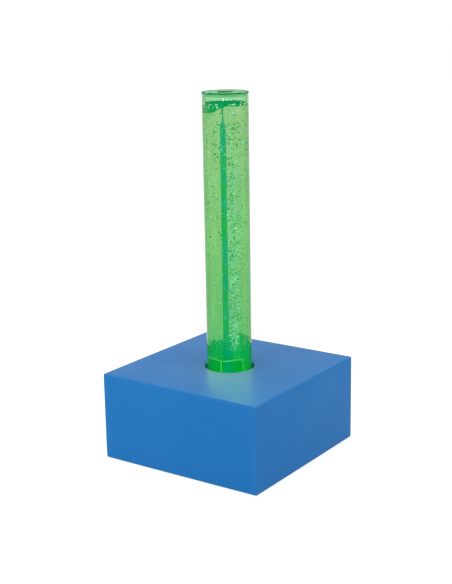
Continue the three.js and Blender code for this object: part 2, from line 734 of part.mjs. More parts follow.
function flangeScrews() {
  const headFoot = flangeTop + SEAT;
  const headTop = headFoot + SCREW_HEAD_HEIGHT;
  const shank = SCREW_DIAMETER / 2;
  const head = SCREW_HEAD_DIAMETER / 2;
  const turnedScrew = turned([
    [0, deckBottom], [shank, deckBottom], [shank, headFoot], [head, headFoot],
    [head, headTop], [0, headTop],
  ], SMALL_SIDES);
  const screw = cut(turnedScrew,
    hexBar(SCREW_SOCKET_WIDTH, headTop - SCREW_SOCKET_DEPTH, headTop + OVERRUN, 0, 0));
  aroundAxis(screw.translate(screwCircle, 0, 0), SCREW_COUNT, 0, 0, Math.PI / 4)
    .forEach((copy, i) => addPart(`flange_screw_${i + 1}`, copy, STEEL));
}

// Base unit housing

function baseFeet() {
  const inset = BASE_SIDE / 2 - BASE_FOOT_INSET;
  const radius = BASE_FOOT_DIAMETER / 2;
  const foot = turned([
    [0, 0], [radius - BASE_FOOT_TAPER, 0], [radius, BASE_FOOT_HEIGHT], [0, BASE_FOOT_HEIGHT],
  ], ROUND_SIDES);
  const corners = [[-1, -1], [1, -1], [1, 1], [-1, 1]];
  corners.forEach(([sideX, sideY], i) =>
    addPart(`base_foot_${i + 1}`, foot.clone().translate(sideX * inset, sideY * inset, 0),
      BLACK_RUBBER));
}

const basePlate = () => plate(
  roundedRectangle(BASE_SIDE, BASE_SIDE, BASE_CORNER_RADIUS), BASE_PLATE_THICKNESS, basePlateBottom);

function deckPlate() {
  const deck = plate(roundedRectangle(BASE_SIDE, BASE_SIDE, BASE_CORNER_RADIUS),
    DECK_THICKNESS, deckBottom);
  const opening = (radius, x, y, sides) =>
    rod(radius, deckBottom - OVERRUN, deckTop + OVERRUN, x, y, sides);
  const screwHoles = aroundAxis(
    opening(SCREW_DIAMETER / 2 + SEAT, screwCircle, 0, SMALL_SIDES), SCREW_COUNT,
    0, 0, Math.PI / 4);
  return cut(deck, opening(LIGHT_HOLE_DIAMETER / 2, 0, 0, ROUND_SIDES),
    opening(hexCornerRadius(DRAIN_NUT_WIDTH) + RUNNING_GAP, drainX, drainY, ROUND_SIDES),
    ...screwHoles);
}

const panelFoot = basePlateTop + SEAT;
const panelHeight = deckBottom - SEAT - panelFoot;
const panelMiddle = BASE_SIDE / 2 - PANEL_THICKNESS / 2;
const socketLevel = basePlateTop + INLET_HEIGHT;
const fanLevel = basePlateTop + FAN_HEIGHT;

// A rectangular hole through a panel that faces the back.
const backHole = (width, height, x, z) =>
  block(width, PANEL_THICKNESS + 2 * OVERRUN, height, x, panelMiddle, z - height / 2);

function louvres(turn) {
  const first = panelFoot + panelHeight / 2 - ((VENT_SLOT_ROWS - 1) / 2) * VENT_SLOT_PITCH;
  return Array.from({ length: VENT_SLOT_ROWS }, (_, row) =>
    backHole(VENT_SLOT_WIDTH, VENT_SLOT_HEIGHT, 0, first + row * VENT_SLOT_PITCH).rotateZ(turn));
}

// Ring slots in front of the fan, kept together by four ribs.
function fanGrille() {
  const depth = PANEL_THICKNESS + 2 * OVERRUN;
  const radii = [];
  const widest = FAN_BORE / 2 - GRILLE_RING_WIDTH;
  for (let r = widest; r > FAN_HUB_DIAMETER / 2; r -= 2 * GRILLE_RING_WIDTH) radii.push(r);
  const ribs = join(
    block(GRILLE_RIB_WIDTH, FAN_BORE, depth, 0, 0, -depth / 2),
    block(FAN_BORE, GRILLE_RIB_WIDTH, depth, 0, 0, -depth / 2));
  return radii.map((radius) => {
    const inner = radius - GRILLE_RING_WIDTH;
    const ring = turnedRing([
      [inner, -depth / 2], [radius, -depth / 2], [radius, depth / 2], [inner, depth / 2],
    ], ROUND_SIDES);
    return cut(ring, ribs).rotateY(QUARTER_TURN).translate(-panelMiddle, 0, fanLevel);
  });
}

function housingPanels() {
  const across = (y) => block(BASE_SIDE, PANEL_THICKNESS, panelHeight, 0, y, panelFoot);
  const between = BASE_SIDE - 2 * (PANEL_THICKNESS + SEAT);
  const along = (x) => block(PANEL_THICKNESS, between, panelHeight, x, 0, panelFoot);
  const drainHole = new THREE.CylinderGeometry(
    DRAIN_PIPE_DIAMETER / 2 + RUNNING_GAP, DRAIN_PIPE_DIAMETER / 2 + RUNNING_GAP,
    PANEL_THICKNESS + 2 * OVERRUN, SMALL_SIDES).translate(drainX, panelMiddle, drainLevel);
  const back = cut(across(panelMiddle),
    backHole(INLET_BODY_WIDTH + 2 * SEAT, INLET_BODY_HEIGHT + 2 * SEAT, INLET_X, socketLevel),
    backHole(SWITCH_WIDTH + 2 * SEAT, SWITCH_HEIGHT + 2 * SEAT, SWITCH_X, socketLevel),
    drainHole);
  addPart('housing_front', cut(across(-panelMiddle), ...louvres(2 * QUARTER_TURN)), WHITE_ENAMEL);
  addPart('housing_back', back, WHITE_ENAMEL);
  addPart('housing_left', cut(along(-panelMiddle), ...fanGrille()), WHITE_ENAMEL);
  addPart('housing_right', cut(along(panelMiddle), ...louvres(-QUARTER_TURN)), WHITE_ENAMEL);
}

// Lamp, its bracket and its holder

const shelfTop = deckBottom - SHELF_DROP;
const shelfBottom = shelfTop - BRACKET_SHEET;
const bracketFoot = basePlateTop + SEAT;

function lampBracket() {
  const outline = new THREE.Shape();
  const left = BRACKET_LEFT;
  const right = BRACKET_RIGHT;
  const sheet = BRACKET_SHEET;
  const footTop = bracketFoot + sheet;
  outline.moveTo(left - BRACKET_FOOT, bracketFoot);
  outline.lineTo(left + sheet, bracketFoot);
  outline.lineTo(left + sheet, shelfBottom);
  outline.lineTo(right - sheet, shelfBottom);
  outline.lineTo(right - sheet, bracketFoot);
  outline.lineTo(right + BRACKET_FOOT, bracketFoot);
  outline.lineTo(right + BRACKET_FOOT, footTop);
  outline.lineTo(right, footTop);
  outline.lineTo(right, shelfTop);
  outline.lineTo(left, shelfTop);
  outline.lineTo(left, footTop);
  outline.lineTo(left - BRACKET_FOOT, footTop);
  outline.closePath();
  const bent = plate(outline, BRACKET_WIDTH, -BRACKET_WIDTH / 2)
    .rotateX(QUARTER_TURN);
  const lampHole = rod(LAMP_DIAMETER / 2 - LAMP_RIM_HEIGHT + SEAT, shelfBottom - OVERRUN,
    shelfTop + OVERRUN, LAMP_X, 0);
  const shaftHole = rod(MOTOR_BEARING_DIAMETER / 2 + SEAT, shelfBottom - OVERRUN,
    shelfTop + OVERRUN, WHEEL_X, 0, SMALL_SIDES);
  return cut(bent, lampHole, shaftHole);
}

// The reflector hangs in the shelf's hole by its rim, with its mouth up.
function lampReflector() {
  const rimFoot = shelfTop + SEAT;
  const rimTop = rimFoot + LAMP_RIM_HEIGHT;
  const rimRadius = LAMP_DIAMETER / 2;
  const bowlRadius = rimRadius - LAMP_RIM_HEIGHT;
  const neck = LAMP_NECK_DIAMETER / 2;
  const bowl = (inset, lift) => Array.from({ length: BOWL_STEPS + 1 }, (_, i) => {
    const share = i / BOWL_STEPS;
    const radius = neck + (bowlRadius - neck) * Math.sqrt(share) - inset;
    return [radius, rimFoot - LAMP_BOWL_DEPTH + LAMP_BOWL_DEPTH * share + lift];
  });
  const outer = bowl(0, 0);
  const inner = bowl(LAMP_GLASS, LAMP_GLASS).reverse();
  const floor = rimFoot - LAMP_BOWL_DEPTH;
  return turned([
    [0, floor], ...outer, [rimRadius, rimFoot], [rimRadius, rimTop],
    [bowlRadius - LAMP_GLASS, rimTop], ...inner, [0, floor + LAMP_GLASS],
  ], ROUND_SIDES).translate(LAMP_X, 0, 0);
}

function lampHolder() {
  const top = shelfTop + SEAT - LAMP_BOWL_DEPTH - SEAT;
  const body = block(HOLDER_SIDE, HOLDER_SIDE, HOLDER_HEIGHT, LAMP_X, 0, top - HOLDER_HEIGHT);
  const slot = block(HOLDER_SIDE / 4, HOLDER_SIDE + OVERRUN, HOLDER_HEIGHT / 2,
    LAMP_X, 0, top - HOLDER_HEIGHT - HOLDER_HEIGHT / 6);
  return cut(body, slot);
}

// Colour wheel and its motor

const wheelBottom = deckBottom - WHEEL_DROP;

function wheelFrame() {
  const rimRadius = WHEEL_DIAMETER / 2;
  const windowOuter = rimRadius - WHEEL_RIM_WIDTH;
  const hubRadius = HUB_DIAMETER / 2;
  const disc = rod(rimRadius, wheelBottom, wheelBottom + WHEEL_SHEET, 0, 0, TUBE_SIDES);
  const ring = turnedRing([
    [hubRadius, wheelBottom - OVERRUN], [windowOuter, wheelBottom - OVERRUN],
    [windowOuter, wheelBottom + OVERRUN], [hubRadius, wheelBottom + OVERRUN],
  ], TUBE_SIDES);
  const spoke = block(WHEEL_DIAMETER, WHEEL_SPOKE_WIDTH, 4 * OVERRUN, 0, 0,
    wheelBottom - 2 * OVERRUN);
  const windows = cut(ring, ...aroundAxis(spoke, WHEEL_SPOKES / 2));
  const hub = rod(hubRadius, wheelBottom - HUB_HEIGHT, wheelBottom + WHEEL_SHEET / 2, 0, 0,
    ROUND_SIDES);
  const shaft = rod(WHEEL_SHAFT_DIAMETER / 2, shelfBottom - MOTOR_HEIGHT / 2,
    wheelBottom + WHEEL_SHEET + FILTER_THICKNESS + 2 * SEAT, 0, 0, SMALL_SIDES);
  return join(cut(disc, windows), hub, shaft).translate(WHEEL_X, 0, 0);
}

// The coloured disc lies on the wheel's frame.
function filterDisc() {
  const bottom = wheelBottom + WHEEL_SHEET + SEAT;
  const top = bottom + FILTER_THICKNESS;
  const inner = WHEEL_SHAFT_DIAMETER / 2 + SEAT;
  const outer = WHEEL_DIAMETER / 2 - WHEEL_RIM_WIDTH / 2;
  return turnedRing([
    [inner, bottom], [outer, bottom], [outer, top], [inner, top],
  ], TUBE_SIDES).translate(WHEEL_X, 0, 0);
}

// The motor hangs under the shelf with its bearing through the shelf's hole.
function wheelMotor() {
  const top = shelfBottom - SEAT;
  const bottom = top - MOTOR_HEIGHT;
  const can = rod(MOTOR_DIAMETER / 2, bottom, top);
  const bearing = rod(MOTOR_BEARING_DIAMETER / 2, top - SEAT, shelfTop + MOTOR_BEARING_HEIGHT,
    0, 0, SMALL_SIDES);
  const earSheet = BRACKET_SHEET / 2;
  const ear = (side) => rod(MOTOR_EAR_RADIUS, top - earSheet, top, 0, side * MOTOR_EAR_SPREAD,
    SMALL_SIDES);
  const strap = block(2 * MOTOR_EAR_RADIUS, 2 * MOTOR_EAR_SPREAD, earSheet, 0, 0, top - earSheet);
  const shaftBore = rod(WHEEL_SHAFT_DIAMETER / 2 + SEAT, bottom + SEAT,
    shelfTop + OVERRUN, 0, 0, SMALL_SIDES);
  return cut(join(can, bearing, strap, ear(1), ear(-1)), shaftBore).translate(WHEEL_X, 0, 0);
}

// Cooling fan, made about the upright axis and then turned to blow along X

const fanBack = -(BASE_SIDE / 2 - PANEL_THICKNESS - SEAT);
const layFan = (geometry) => geometry.rotateY(QUARTER_TURN).translate(fanBack, 0, fanLevel);

function fanFrame() {
  const shell = cut(
    plate(roundedRectangle(FAN_SIDE, FAN_SIDE, FAN_CORNER_RADIUS), FAN_DEPTH, 0, 3),
    rod(FAN_BORE / 2, -OVERRUN, FAN_DEPTH + OVERRUN));
  const strutFoot = FAN_DEPTH - FAN_STRUT_DEPTH;
  const strut = block(FAN_BORE + FAN_STRUT_WIDTH, FAN_STRUT_WIDTH, FAN_STRUT_DEPTH, 0, 0, strutFoot);
  const hub = rod(FAN_HUB_DIAMETER / 2, strutFoot, FAN_DEPTH);
  const bearing = rod(FAN_SHAFT_DIAMETER / 2 + SEAT, strutFoot - OVERRUN, FAN_DEPTH + OVERRUN,
    0, 0, SMALL_SIDES);
  const screwHole = rod(FAN_SCREW_HOLE / 2, -OVERRUN, FAN_DEPTH + OVERRUN,
    FAN_SCREW_SPREAD / 2, FAN_SCREW_SPREAD / 2, HOSE_SIDES);
  const spider = join(shell, strut.clone().rotateZ(Math.PI / 4), strut.rotateZ(-Math.PI / 4), hub);
  return layFan(cut(spider, bearing, ...aroundAxis(screwHole, 4)));
}

// One blade: thin sections from inside the hub to the tip, pitched more at the tip.
function fanBlade(middle) {
  const sections = 4;
  const rootRadius = FAN_HUB_DIAMETER / 2 - FAN_BLADE_THICKNESS;
  const tipRadius = FAN_BORE / 2 - FAN_TIP_GAP;
  const rings = Array.from({ length: sections }, (_, i) => {
    const share = i / (sections - 1);
    const radius = THREE.MathUtils.lerp(rootRadius, tipRadius, share);
    const chord = THREE.MathUtils.lerp(FAN_BLADE_ROOT_CHORD, FAN_BLADE_TIP_CHORD, share);
    const pitch = THREE.MathUtils.degToRad(
      THREE.MathUtils.lerp(FAN_ROOT_PITCH, FAN_TIP_PITCH, share));
    const along = new THREE.Vector3(0, Math.sin(pitch), Math.cos(pitch)).multiplyScalar(chord / 2);
    const across = new THREE.Vector3(0, Math.cos(pitch), -Math.sin(pitch))
      .multiplyScalar(FAN_BLADE_THICKNESS / 2);
    const centre = new THREE.Vector3(
      Math.sqrt(radius ** 2 - Math.min(along.y, radius / 2) ** 2), 0, middle);
    return [[-1, -1], [1, -1], [1, 1], [-1, 1]].map(([end, face]) =>
      centre.clone().addScaledVector(along, end).addScaledVector(across, face));
  });
  return loft(rings);
}

function fanRotor() {
  const hubTop = FAN_DEPTH - FAN_STRUT_DEPTH - RUNNING_GAP;
  const hubFoot = hubTop - FAN_HUB_DEPTH;
  const radius = FAN_HUB_DIAMETER / 2;
  const hub = turned([
    [0, hubFoot], [radius - FAN_BLADE_THICKNESS, hubFoot], [radius, hubFoot + FAN_BLADE_THICKNESS],
    [radius, hubTop], [FAN_SHAFT_DIAMETER / 2, hubTop], [FAN_SHAFT_DIAMETER / 2, FAN_DEPTH],
    [0, FAN_DEPTH],
  ], ROUND_SIDES);
  const blade = fanBlade((hubFoot + hubTop) / 2);
  return layFan(join(hub, ...aroundAxis(blade, FAN_BLADES)));
}

// Air pump: a magnet arm on a pivot pin rocks beside a coil and works a rubber diaphragm

const pumpFloor = basePlateTop + SEAT;
const pumpDeck = pumpFloor + PUMP_PLATE;
const armBottom = pumpDeck + PIVOT_BOSS_HEIGHT + SEAT;
const armMiddle = armBottom + ARM_HEIGHT / 2;
const pivotX = PUMP_X + PUMP_WIDTH / 4;
const pivotY = PUMP_Y - PUMP_LENGTH / 2 + PIVOT_BOSS_DIAMETER;
const studY = pivotY + ARM_LENGTH * ARM_STUD_SHARE;

function pumpBase() {
  const tray = plate(roundedRectangle(PUMP_WIDTH, PUMP_LENGTH, PUMP_CORNER_RADIUS),
    PUMP_PLATE, pumpFloor, 4).translate(PUMP_X, PUMP_Y, 0);
  const boss = rod(PIVOT_BOSS_DIAMETER / 2, pumpDeck - SEAT, pumpDeck + PIVOT_BOSS_HEIGHT,
    pivotX, pivotY, ROUND_SIDES);
  const pin = rod(PIVOT_PIN_DIAMETER / 2, pumpDeck, armBottom + ARM_HEIGHT + PIVOT_PIN_DIAMETER,
    pivotX, pivotY, SMALL_SIDES);
  return join(tray, boss, pin);
}

function pumpArmature() {
  const eye = rod(ARM_EYE_DIAMETER / 2, armBottom, armBottom + ARM_HEIGHT, pivotX, pivotY,
    SMALL_SIDES);
  const bar = block(ARM_THICKNESS, ARM_LENGTH, ARM_HEIGHT, pivotX, pivotY + ARM_LENGTH / 2,
    armBottom);
  const magnet = block(MAGNET_WIDTH, MAGNET_LENGTH, ARM_HEIGHT, pivotX,
    pivotY + ARM_LENGTH - MAGNET_LENGTH / 2, armBottom);
  const studLength = ARM_THICKNESS / 2 + ARM_STUD_LENGTH;
  const stud = new THREE.CylinderGeometry(ARM_STUD_DIAMETER / 2, ARM_STUD_DIAMETER / 2,
    studLength, SMALL_SIDES)
    .rotateZ(QUARTER_TURN)
    .translate(pivotX - studLength / 2, studY, armMiddle);
  const pinBore = rod(PIVOT_PIN_DIAMETER / 2 + SEAT, armBottom - OVERRUN,
    armBottom + ARM_HEIGHT + OVERRUN, pivotX, pivotY, SMALL_SIDES);
  return cut(join(eye, bar, magnet, stud), pinBore);
}

// The coil stands beside the magnet and pulls it across a narrow gap.
function pumpCoil() {
  const y = pivotY + ARM_LENGTH - MAGNET_LENGTH / 2;
  const poleFace = pivotX - MAGNET_WIDTH / 2 - COIL_GAP;
  const low = pumpDeck + SEAT;
  const coreX = poleFace - COIL_CORE_LENGTH / 2;
  const core = block(COIL_CORE_LENGTH, COIL_CORE_WIDTH, COIL_BOBBIN_SIDE, coreX, y, low);
  const bobbin = block(COIL_BOBBIN_LENGTH, COIL_BOBBIN_SIDE, COIL_BOBBIN_SIDE + SEAT, coreX, y, low);
  return join(core, bobbin);
}

const diaphragmFace = pivotX - ARM_THICKNESS / 2 - ARM_STUD_LENGTH - DIAPHRAGM_GAP;

// Rubber bellows with two folds, worked by the arm's stud.
function pumpDiaphragm() {
  const radius = DIAPHRAGM_DIAMETER / 2;
  const fold = DIAPHRAGM_LENGTH / 4;
  return turned([
    [0, 0], [radius, 0], [radius - DIAPHRAGM_FOLD, fold], [radius, 2 * fold],
    [radius - DIAPHRAGM_FOLD, 3 * fold], [radius - DIAPHRAGM_FOLD, 4 * fold], [0, 4 * fold],
  ], ROUND_SIDES)
    .rotateY(QUARTER_TURN)
    .translate(diaphragmFace - DIAPHRAGM_LENGTH, studY, armMiddle);
}

const blockX = diaphragmFace - DIAPHRAGM_LENGTH - SEAT - VALVE_BLOCK_DEPTH / 2;
const blockTop = pumpDeck + SEAT + VALVE_BLOCK_HEIGHT;

function valveBlock() {
  const body = block(VALVE_BLOCK_DEPTH, VALVE_BLOCK_WIDTH, VALVE_BLOCK_HEIGHT, blockX, studY,
    pumpDeck + SEAT);
  const outlet = rod(BARB_DIAMETER / 2 + BARB_RIDGE, blockTop - SEAT, blockTop + BARB_DIAMETER,
    blockX, studY, SMALL_SIDES);
  return join(body, outlet);
}

// A hose barb from z upwards, with saw-tooth ridges.
function barbProfile(foot) {
  const radius = BARB_DIAMETER / 2;
  const step = BARB_LENGTH / BARB_RIDGES;
  const ridges = Array.from({ length: BARB_RIDGES }, (_, i) => [
    [radius + BARB_RIDGE, foot + step * i], [radius, foot + step * (i + 1)],
  ]);
  return ridges.flat();
}

const checkBottom = blockTop + SEAT;
const checkTop = checkBottom + CHECK_VALVE_LENGTH;

// The check valve sits over the block's outlet and carries the hose on its barb.
function checkValve() {
  const radius = CHECK_VALVE_DIAMETER / 2;
  const shoulder = radius - BARB_DIAMETER / 2;
  const body = turned([
    [0, checkBottom], [radius, checkBottom], [radius, checkTop - shoulder],
    ...barbProfile(checkTop), [0, checkTop + BARB_LENGTH],
  ], SMALL_SIDES).translate(blockX, studY, 0);
  const socket = rod(BARB_DIAMETER / 2 + BARB_RIDGE + SEAT, checkBottom - OVERRUN,
    blockTop + BARB_DIAMETER + SEAT, blockX, studY, SMALL_SIDES);
  return cut(body, socket);
}

const legLevel = flangeBottom - INLET_DROP;

// Elbow under the tube's floor: a stem through the flange, a nut and a hose barb.
function airInletBarb() {
  const stem = rod(INLET_STEM_DIAMETER / 2, legLevel, flangeTop + INLET_STAND, 0, 0, SMALL_SIDES);
  const nutTop = flangeBottom - SEAT;
  const nut = hexBar(INLET_NUT_WIDTH, nutTop - INLET_NUT_HEIGHT, nutTop, 0, 0);
  const leg = turned([
    [0, 0], [INLET_STEM_DIAMETER / 2, 0], [INLET_STEM_DIAMETER / 2, INLET_LEG_LENGTH],
    ...barbProfile(INLET_LEG_LENGTH), [0, INLET_LEG_LENGTH + BARB_LENGTH],
  ], SMALL_SIDES).rotateY(QUARTER_TURN).translate(0, 0, legLevel);
  const knee = new THREE.SphereGeometry(INLET_STEM_DIAMETER / 2, SMALL_SIDES, HOSE_SIDES)
    .translate(0, 0, legLevel);
  return join(stem, nut, leg, knee).rotateZ(boxTurn).translate(inletX, inletY, 0);
}

// The hose runs from the elbow's barb under the deck and down onto the check valve.
function airHose() {
  const heading = new THREE.Vector3(Math.cos(boxTurn), Math.sin(boxTurn), 0);
  const start = new THREE.Vector3(inletX, inletY, legLevel)
    .addScaledVector(heading, INLET_LEG_LENGTH + SEAT);
  const end = new THREE.Vector3(blockX, studY, checkTop + SEAT);
  const grip = BARB_LENGTH + HOSE_DIAMETER;
  const leave = start.clone().addScaledVector(heading, grip);
  const arrive = end.clone().add(new THREE.Vector3(0, 0, grip));
  const route = new THREE.CurvePath();
  route.add(new THREE.LineCurve3(start, leave));
  route.add(new THREE.CubicBezierCurve3(leave,
    leave.clone().addScaledVector(heading, 4 * HOSE_DIAMETER),
    arrive.clone().add(new THREE.Vector3(0, 0, 6 * HOSE_DIAMETER)), arrive));
  route.add(new THREE.LineCurve3(arrive, end));
  const skin = swept(route, HOSE_DIAMETER / 2, HOSE_SIDES, HOSE_STEPS);
  const grown = BARB_DIAMETER / 2 + BARB_RIDGE + SEAT;
  const boreAtStart = new THREE.CylinderGeometry(grown, grown, 2 * BARB_LENGTH, SMALL_SIDES)
    .rotateZ(QUARTER_TURN).rotateZ(boxTurn).translate(start.x, start.y, start.z);
  const boreAtEnd = rod(grown, end.z - OVERRUN, end.z + BARB_LENGTH, end.x, end.y, SMALL_SIDES);
  return cut(skin, boreAtStart, boreAtEnd);
}

// Transformer and terminals

function transformer() {
  const floor = basePlateTop + SEAT + CORE_FOOT_THICKNESS;
  const windowWidth = (CORE_WIDTH - 4 * CORE_LIMB) / 2;
  const windowHeight = CORE_HEIGHT - 2 * CORE_LIMB;
  const windowX = CORE_LIMB + windowWidth / 2;
  const deep = CORE_DEPTH + 2 * OVERRUN;
  const windowAt = (x) => block(windowWidth, deep, windowHeight, x, 0, floor + CORE_LIMB);
  const frame = block(CORE_WIDTH, CORE_DEPTH, CORE_HEIGHT, 0, 0, floor);
  const footPlate = block(CORE_WIDTH + 2 * CORE_FOOT_LENGTH, CORE_DEPTH, CORE_FOOT_THICKNESS + SEAT,
    0, 0, floor - CORE_FOOT_THICKNESS);
  const core = cut(join(frame, footPlate), windowAt(windowX), windowAt(-windowX));
  const limb = 2 * CORE_LIMB;
  const outer = block(limb + 2 * (windowWidth - SEAT), CORE_DEPTH + 2 * WINDING_BUILD,
    windowHeight - 2 * SEAT, 0, 0, floor + CORE_LIMB + SEAT);
  const inner = block(limb + 2 * SEAT, CORE_DEPTH + 2 * SEAT, CORE_HEIGHT, 0, 0, floor);
  const place = (geometry) => geometry.rotateZ(QUARTER_TURN).translate(CORE_X, CORE_Y, 0);
  addPart('transformer_core', place(core), LAMINATION);
  addPart('transformer_winding', place(cut(outer, inner)), COPPER);
}

function terminalBlock() {
  const bottom = basePlateTop + SEAT;
  const top = bottom + TERMINAL_HEIGHT;
  const pitch = TERMINAL_LENGTH / TERMINAL_WAYS;
  const body = block(TERMINAL_LENGTH, TERMINAL_WIDTH, TERMINAL_HEIGHT, TERMINAL_X, TERMINAL_Y,
    bottom);
  const wells = Array.from({ length: TERMINAL_WAYS }, (_, i) =>
    rod(TERMINAL_WELL_DIAMETER / 2, top - TERMINAL_WELL_DEPTH, top + OVERRUN,
      TERMINAL_X - TERMINAL_LENGTH / 2 + pitch * (i + 1 / 2), TERMINAL_Y, HOSE_SIDES));
  return cut(body, ...wells);
}

// Power inlet and switch

const backFace = BASE_SIDE / 2;
const platePlace = backFace + SEAT;

// A box whose back is at one depth and whose front is at another, seen from the back side.
const backBlock = (width, height, from, to, x) =>
  block(width, to - from, height, x, (from + to) / 2, socketLevel - height / 2);

function powerInlet() {
  const plateFront = platePlace + SOCKET_PLATE;
  const body = join(
    backBlock(INLET_PLATE_WIDTH, INLET_PLATE_HEIGHT, platePlace, plateFront, INLET_X),
    backBlock(INLET_BODY_WIDTH, INLET_BODY_HEIGHT, plateFront - INLET_BODY_DEPTH, plateFront, INLET_X));
  const recessBack = plateFront - INLET_RECESS_DEPTH;
  const recess = backBlock(INLET_BODY_WIDTH - 2 * INLET_WALL, INLET_BODY_HEIGHT - 2 * INLET_WALL,
    recessBack, plateFront + OVERRUN, INLET_X);
  const pins = [-1, 0, 1].map((side) => backBlock(INLET_PIN_WIDTH, INLET_PIN_HEIGHT,
    recessBack - SEAT, recessBack + INLET_PIN_LENGTH, INLET_X + side * INLET_PIN_PITCH));
  return join(cut(body, recess), ...pins);
}

const rockerWidth = SWITCH_WIDTH - 2 * SWITCH_WALL - 2 * RUNNING_GAP;
const rockerHeight = SWITCH_HEIGHT - 2 * SWITCH_WALL - 2 * ROCKER_PROUD;
const rockerAxisY = platePlace + SOCKET_PLATE - ROCKER_THICKNESS / 2 + ROCKER_PROUD;

function switchBezel() {
  const front = platePlace + SOCKET_PLATE;
  const frameWidth = SWITCH_WIDTH + 2 * SWITCH_WALL;
  const frameHeight = SWITCH_HEIGHT + 2 * SWITCH_WALL;
  const body = join(
    backBlock(frameWidth, frameHeight, platePlace, front, SWITCH_X),
    backBlock(SWITCH_WIDTH, SWITCH_HEIGHT, front - SWITCH_BODY_DEPTH, front, SWITCH_X));
  return cut(body, backBlock(SWITCH_WIDTH - 2 * SWITCH_WALL, SWITCH_HEIGHT - 2 * SWITCH_WALL,
    front - SWITCH_BODY_DEPTH + SWITCH_WALL, front + OVERRUN, SWITCH_X));
}

// The rocker is dished between its two ends and tilts about a level axis.
function powerRocker() {
  const half = rockerHeight / 2;
  const back = -ROCKER_THICKNESS / 2;
  const outline = new THREE.Shape();
  outline.moveTo(-half, -back - ROCKER_PROUD);
  outline.quadraticCurveTo(0, -back - 2 * ROCKER_PROUD, half, -back - ROCKER_PROUD);
  outline.lineTo(half, 0);
  outline.quadraticCurveTo(half / 2, back, 0, back);
  outline.quadraticCurveTo(-half / 2, back, -half, 0);
  outline.closePath();
  return plate(outline, rockerWidth, -rockerWidth / 2)
    .rotateY(-QUARTER_TURN)
    .rotateX(THREE.MathUtils.degToRad(ROCKER_TILT))
    .translate(SWITCH_X, rockerAxisY, socketLevel);
}

// Drain: pipe from the tube's floor to a quarter-turn valve outside the back panel

const valveStart = backFace + SEAT;
const valveMiddle = valveStart + VALVE_LENGTH / 2;
const neckTop = drainLevel + VALVE_DIAMETER / 2 + VALVE_NECK_HEIGHT;

function drainPipe() {
  const top = new THREE.Vector3(drainX, drainY, flangeTop);
  const bendTop = new THREE.Vector3(drainX, drainY, drainLevel + DRAIN_BEND_RADIUS);
  const corner = new THREE.Vector3(drainX, drainY, drainLevel);
  const bendEnd = new THREE.Vector3(drainX, drainY + DRAIN_BEND_RADIUS, drainLevel);
  const end = new THREE.Vector3(drainX, valveStart - SEAT, drainLevel);
  const radius = DRAIN_PIPE_DIAMETER / 2;
  const drop = rod(radius, bendTop.z, top.z, drainX, drainY, SMALL_SIDES);
  const bend = swept(new THREE.QuadraticBezierCurve3(
    bendTop.clone().setZ(bendTop.z + SEAT), corner, bendEnd.clone().setY(bendEnd.y + SEAT)),
  radius, SMALL_SIDES, DRAIN_STEPS);
  const run = new THREE.CylinderGeometry(radius, radius, end.y - bendEnd.y, SMALL_SIDES)
    .translate(drainX, (end.y + bendEnd.y) / 2, drainLevel);
  const nutTop = flangeBottom - SEAT;
  const nut = hexBar(DRAIN_NUT_WIDTH, nutTop - DRAIN_NUT_HEIGHT, nutTop, drainX, drainY);
  return join(drop, bend, run, nut);
}

function drainValveBody() {
  const radius = VALVE_DIAMETER / 2;
  const nozzle = VALVE_NOZZLE_DIAMETER / 2;
  const end = VALVE_LENGTH + VALVE_NOZZLE_LENGTH;
  const body = turned([
    [0, 0], [radius, 0], [radius, VALVE_LENGTH - (radius - nozzle)], [nozzle, VALVE_LENGTH],
    [nozzle, end], [DRAIN_BORE / 2, end], [DRAIN_BORE / 2, VALVE_LENGTH / 2 + LEVER_STEM_DIAMETER],
    [0, VALVE_LENGTH / 2 + LEVER_STEM_DIAMETER],
  ], SMALL_SIDES).rotateX(-QUARTER_TURN).translate(drainX, valveStart, drainLevel);
  const neck = rod(VALVE_NECK_DIAMETER / 2, drainLevel, neckTop, drainX, valveMiddle, SMALL_SIDES);
  const stemBore = rod(LEVER_STEM_DIAMETER / 2 + SEAT, neckTop - LEVER_STEM_LENGTH,
    neckTop + OVERRUN, drainX, valveMiddle, SMALL_SIDES);
  return cut(join(body, neck), stemBore);
}

// The lever lies across the pipe when the drain is shut and steps up to its grip.
function drainLever() {
  const low = neckTop + SEAT;
  const outline = new THREE.Shape();
  const eye = LEVER_WIDTH / 2;
  const step = LEVER_LENGTH / 2;
  outline.moveTo(-eye, low);
  outline.lineTo(eye, low);
  outline.lineTo(step, low + LEVER_TIP_RISE);
  outline.lineTo(LEVER_LENGTH, low + LEVER_TIP_RISE);
  outline.lineTo(LEVER_LENGTH, low + LEVER_TIP_RISE + LEVER_THICKNESS);
  outline.lineTo(step, low + LEVER_TIP_RISE + LEVER_THICKNESS);
  outline.lineTo(eye, low + LEVER_THICKNESS);
  outline.lineTo(-eye, low + LEVER_THICKNESS);
  outline.closePath();
  const strip = plate(outline, LEVER_WIDTH, -LEVER_WIDTH / 2).rotateX(QUARTER_TURN);
  const stem = rod(LEVER_STEM_DIAMETER / 2, neckTop - LEVER_STEM_LENGTH + SEAT,
    low + LEVER_THICKNESS, 0, 0, SMALL_SIDES);
  return join(strip, stem).translate(drainX, valveMiddle, 0);
}

addPart('vinyl_cover', vinylCover(), VINYL_BLUE);
foamParts();
carcass();

addPart('bubble_tube', tubeRing(), ACRYLIC);
addPart('lid_disc', lidDisc(), ACRYLIC);
addPart('water_column', waterColumn(), WATER);
addPart('air_box', airBox(), ACRYLIC);
addPart('standpipe', standpipe(), PIPE_GREEN);

addPart('floor_flange', floorFlange(), ACRYLIC);
addPart('flange_gasket', flangeGasket(), BLACK_RUBBER);
flangeScrews();

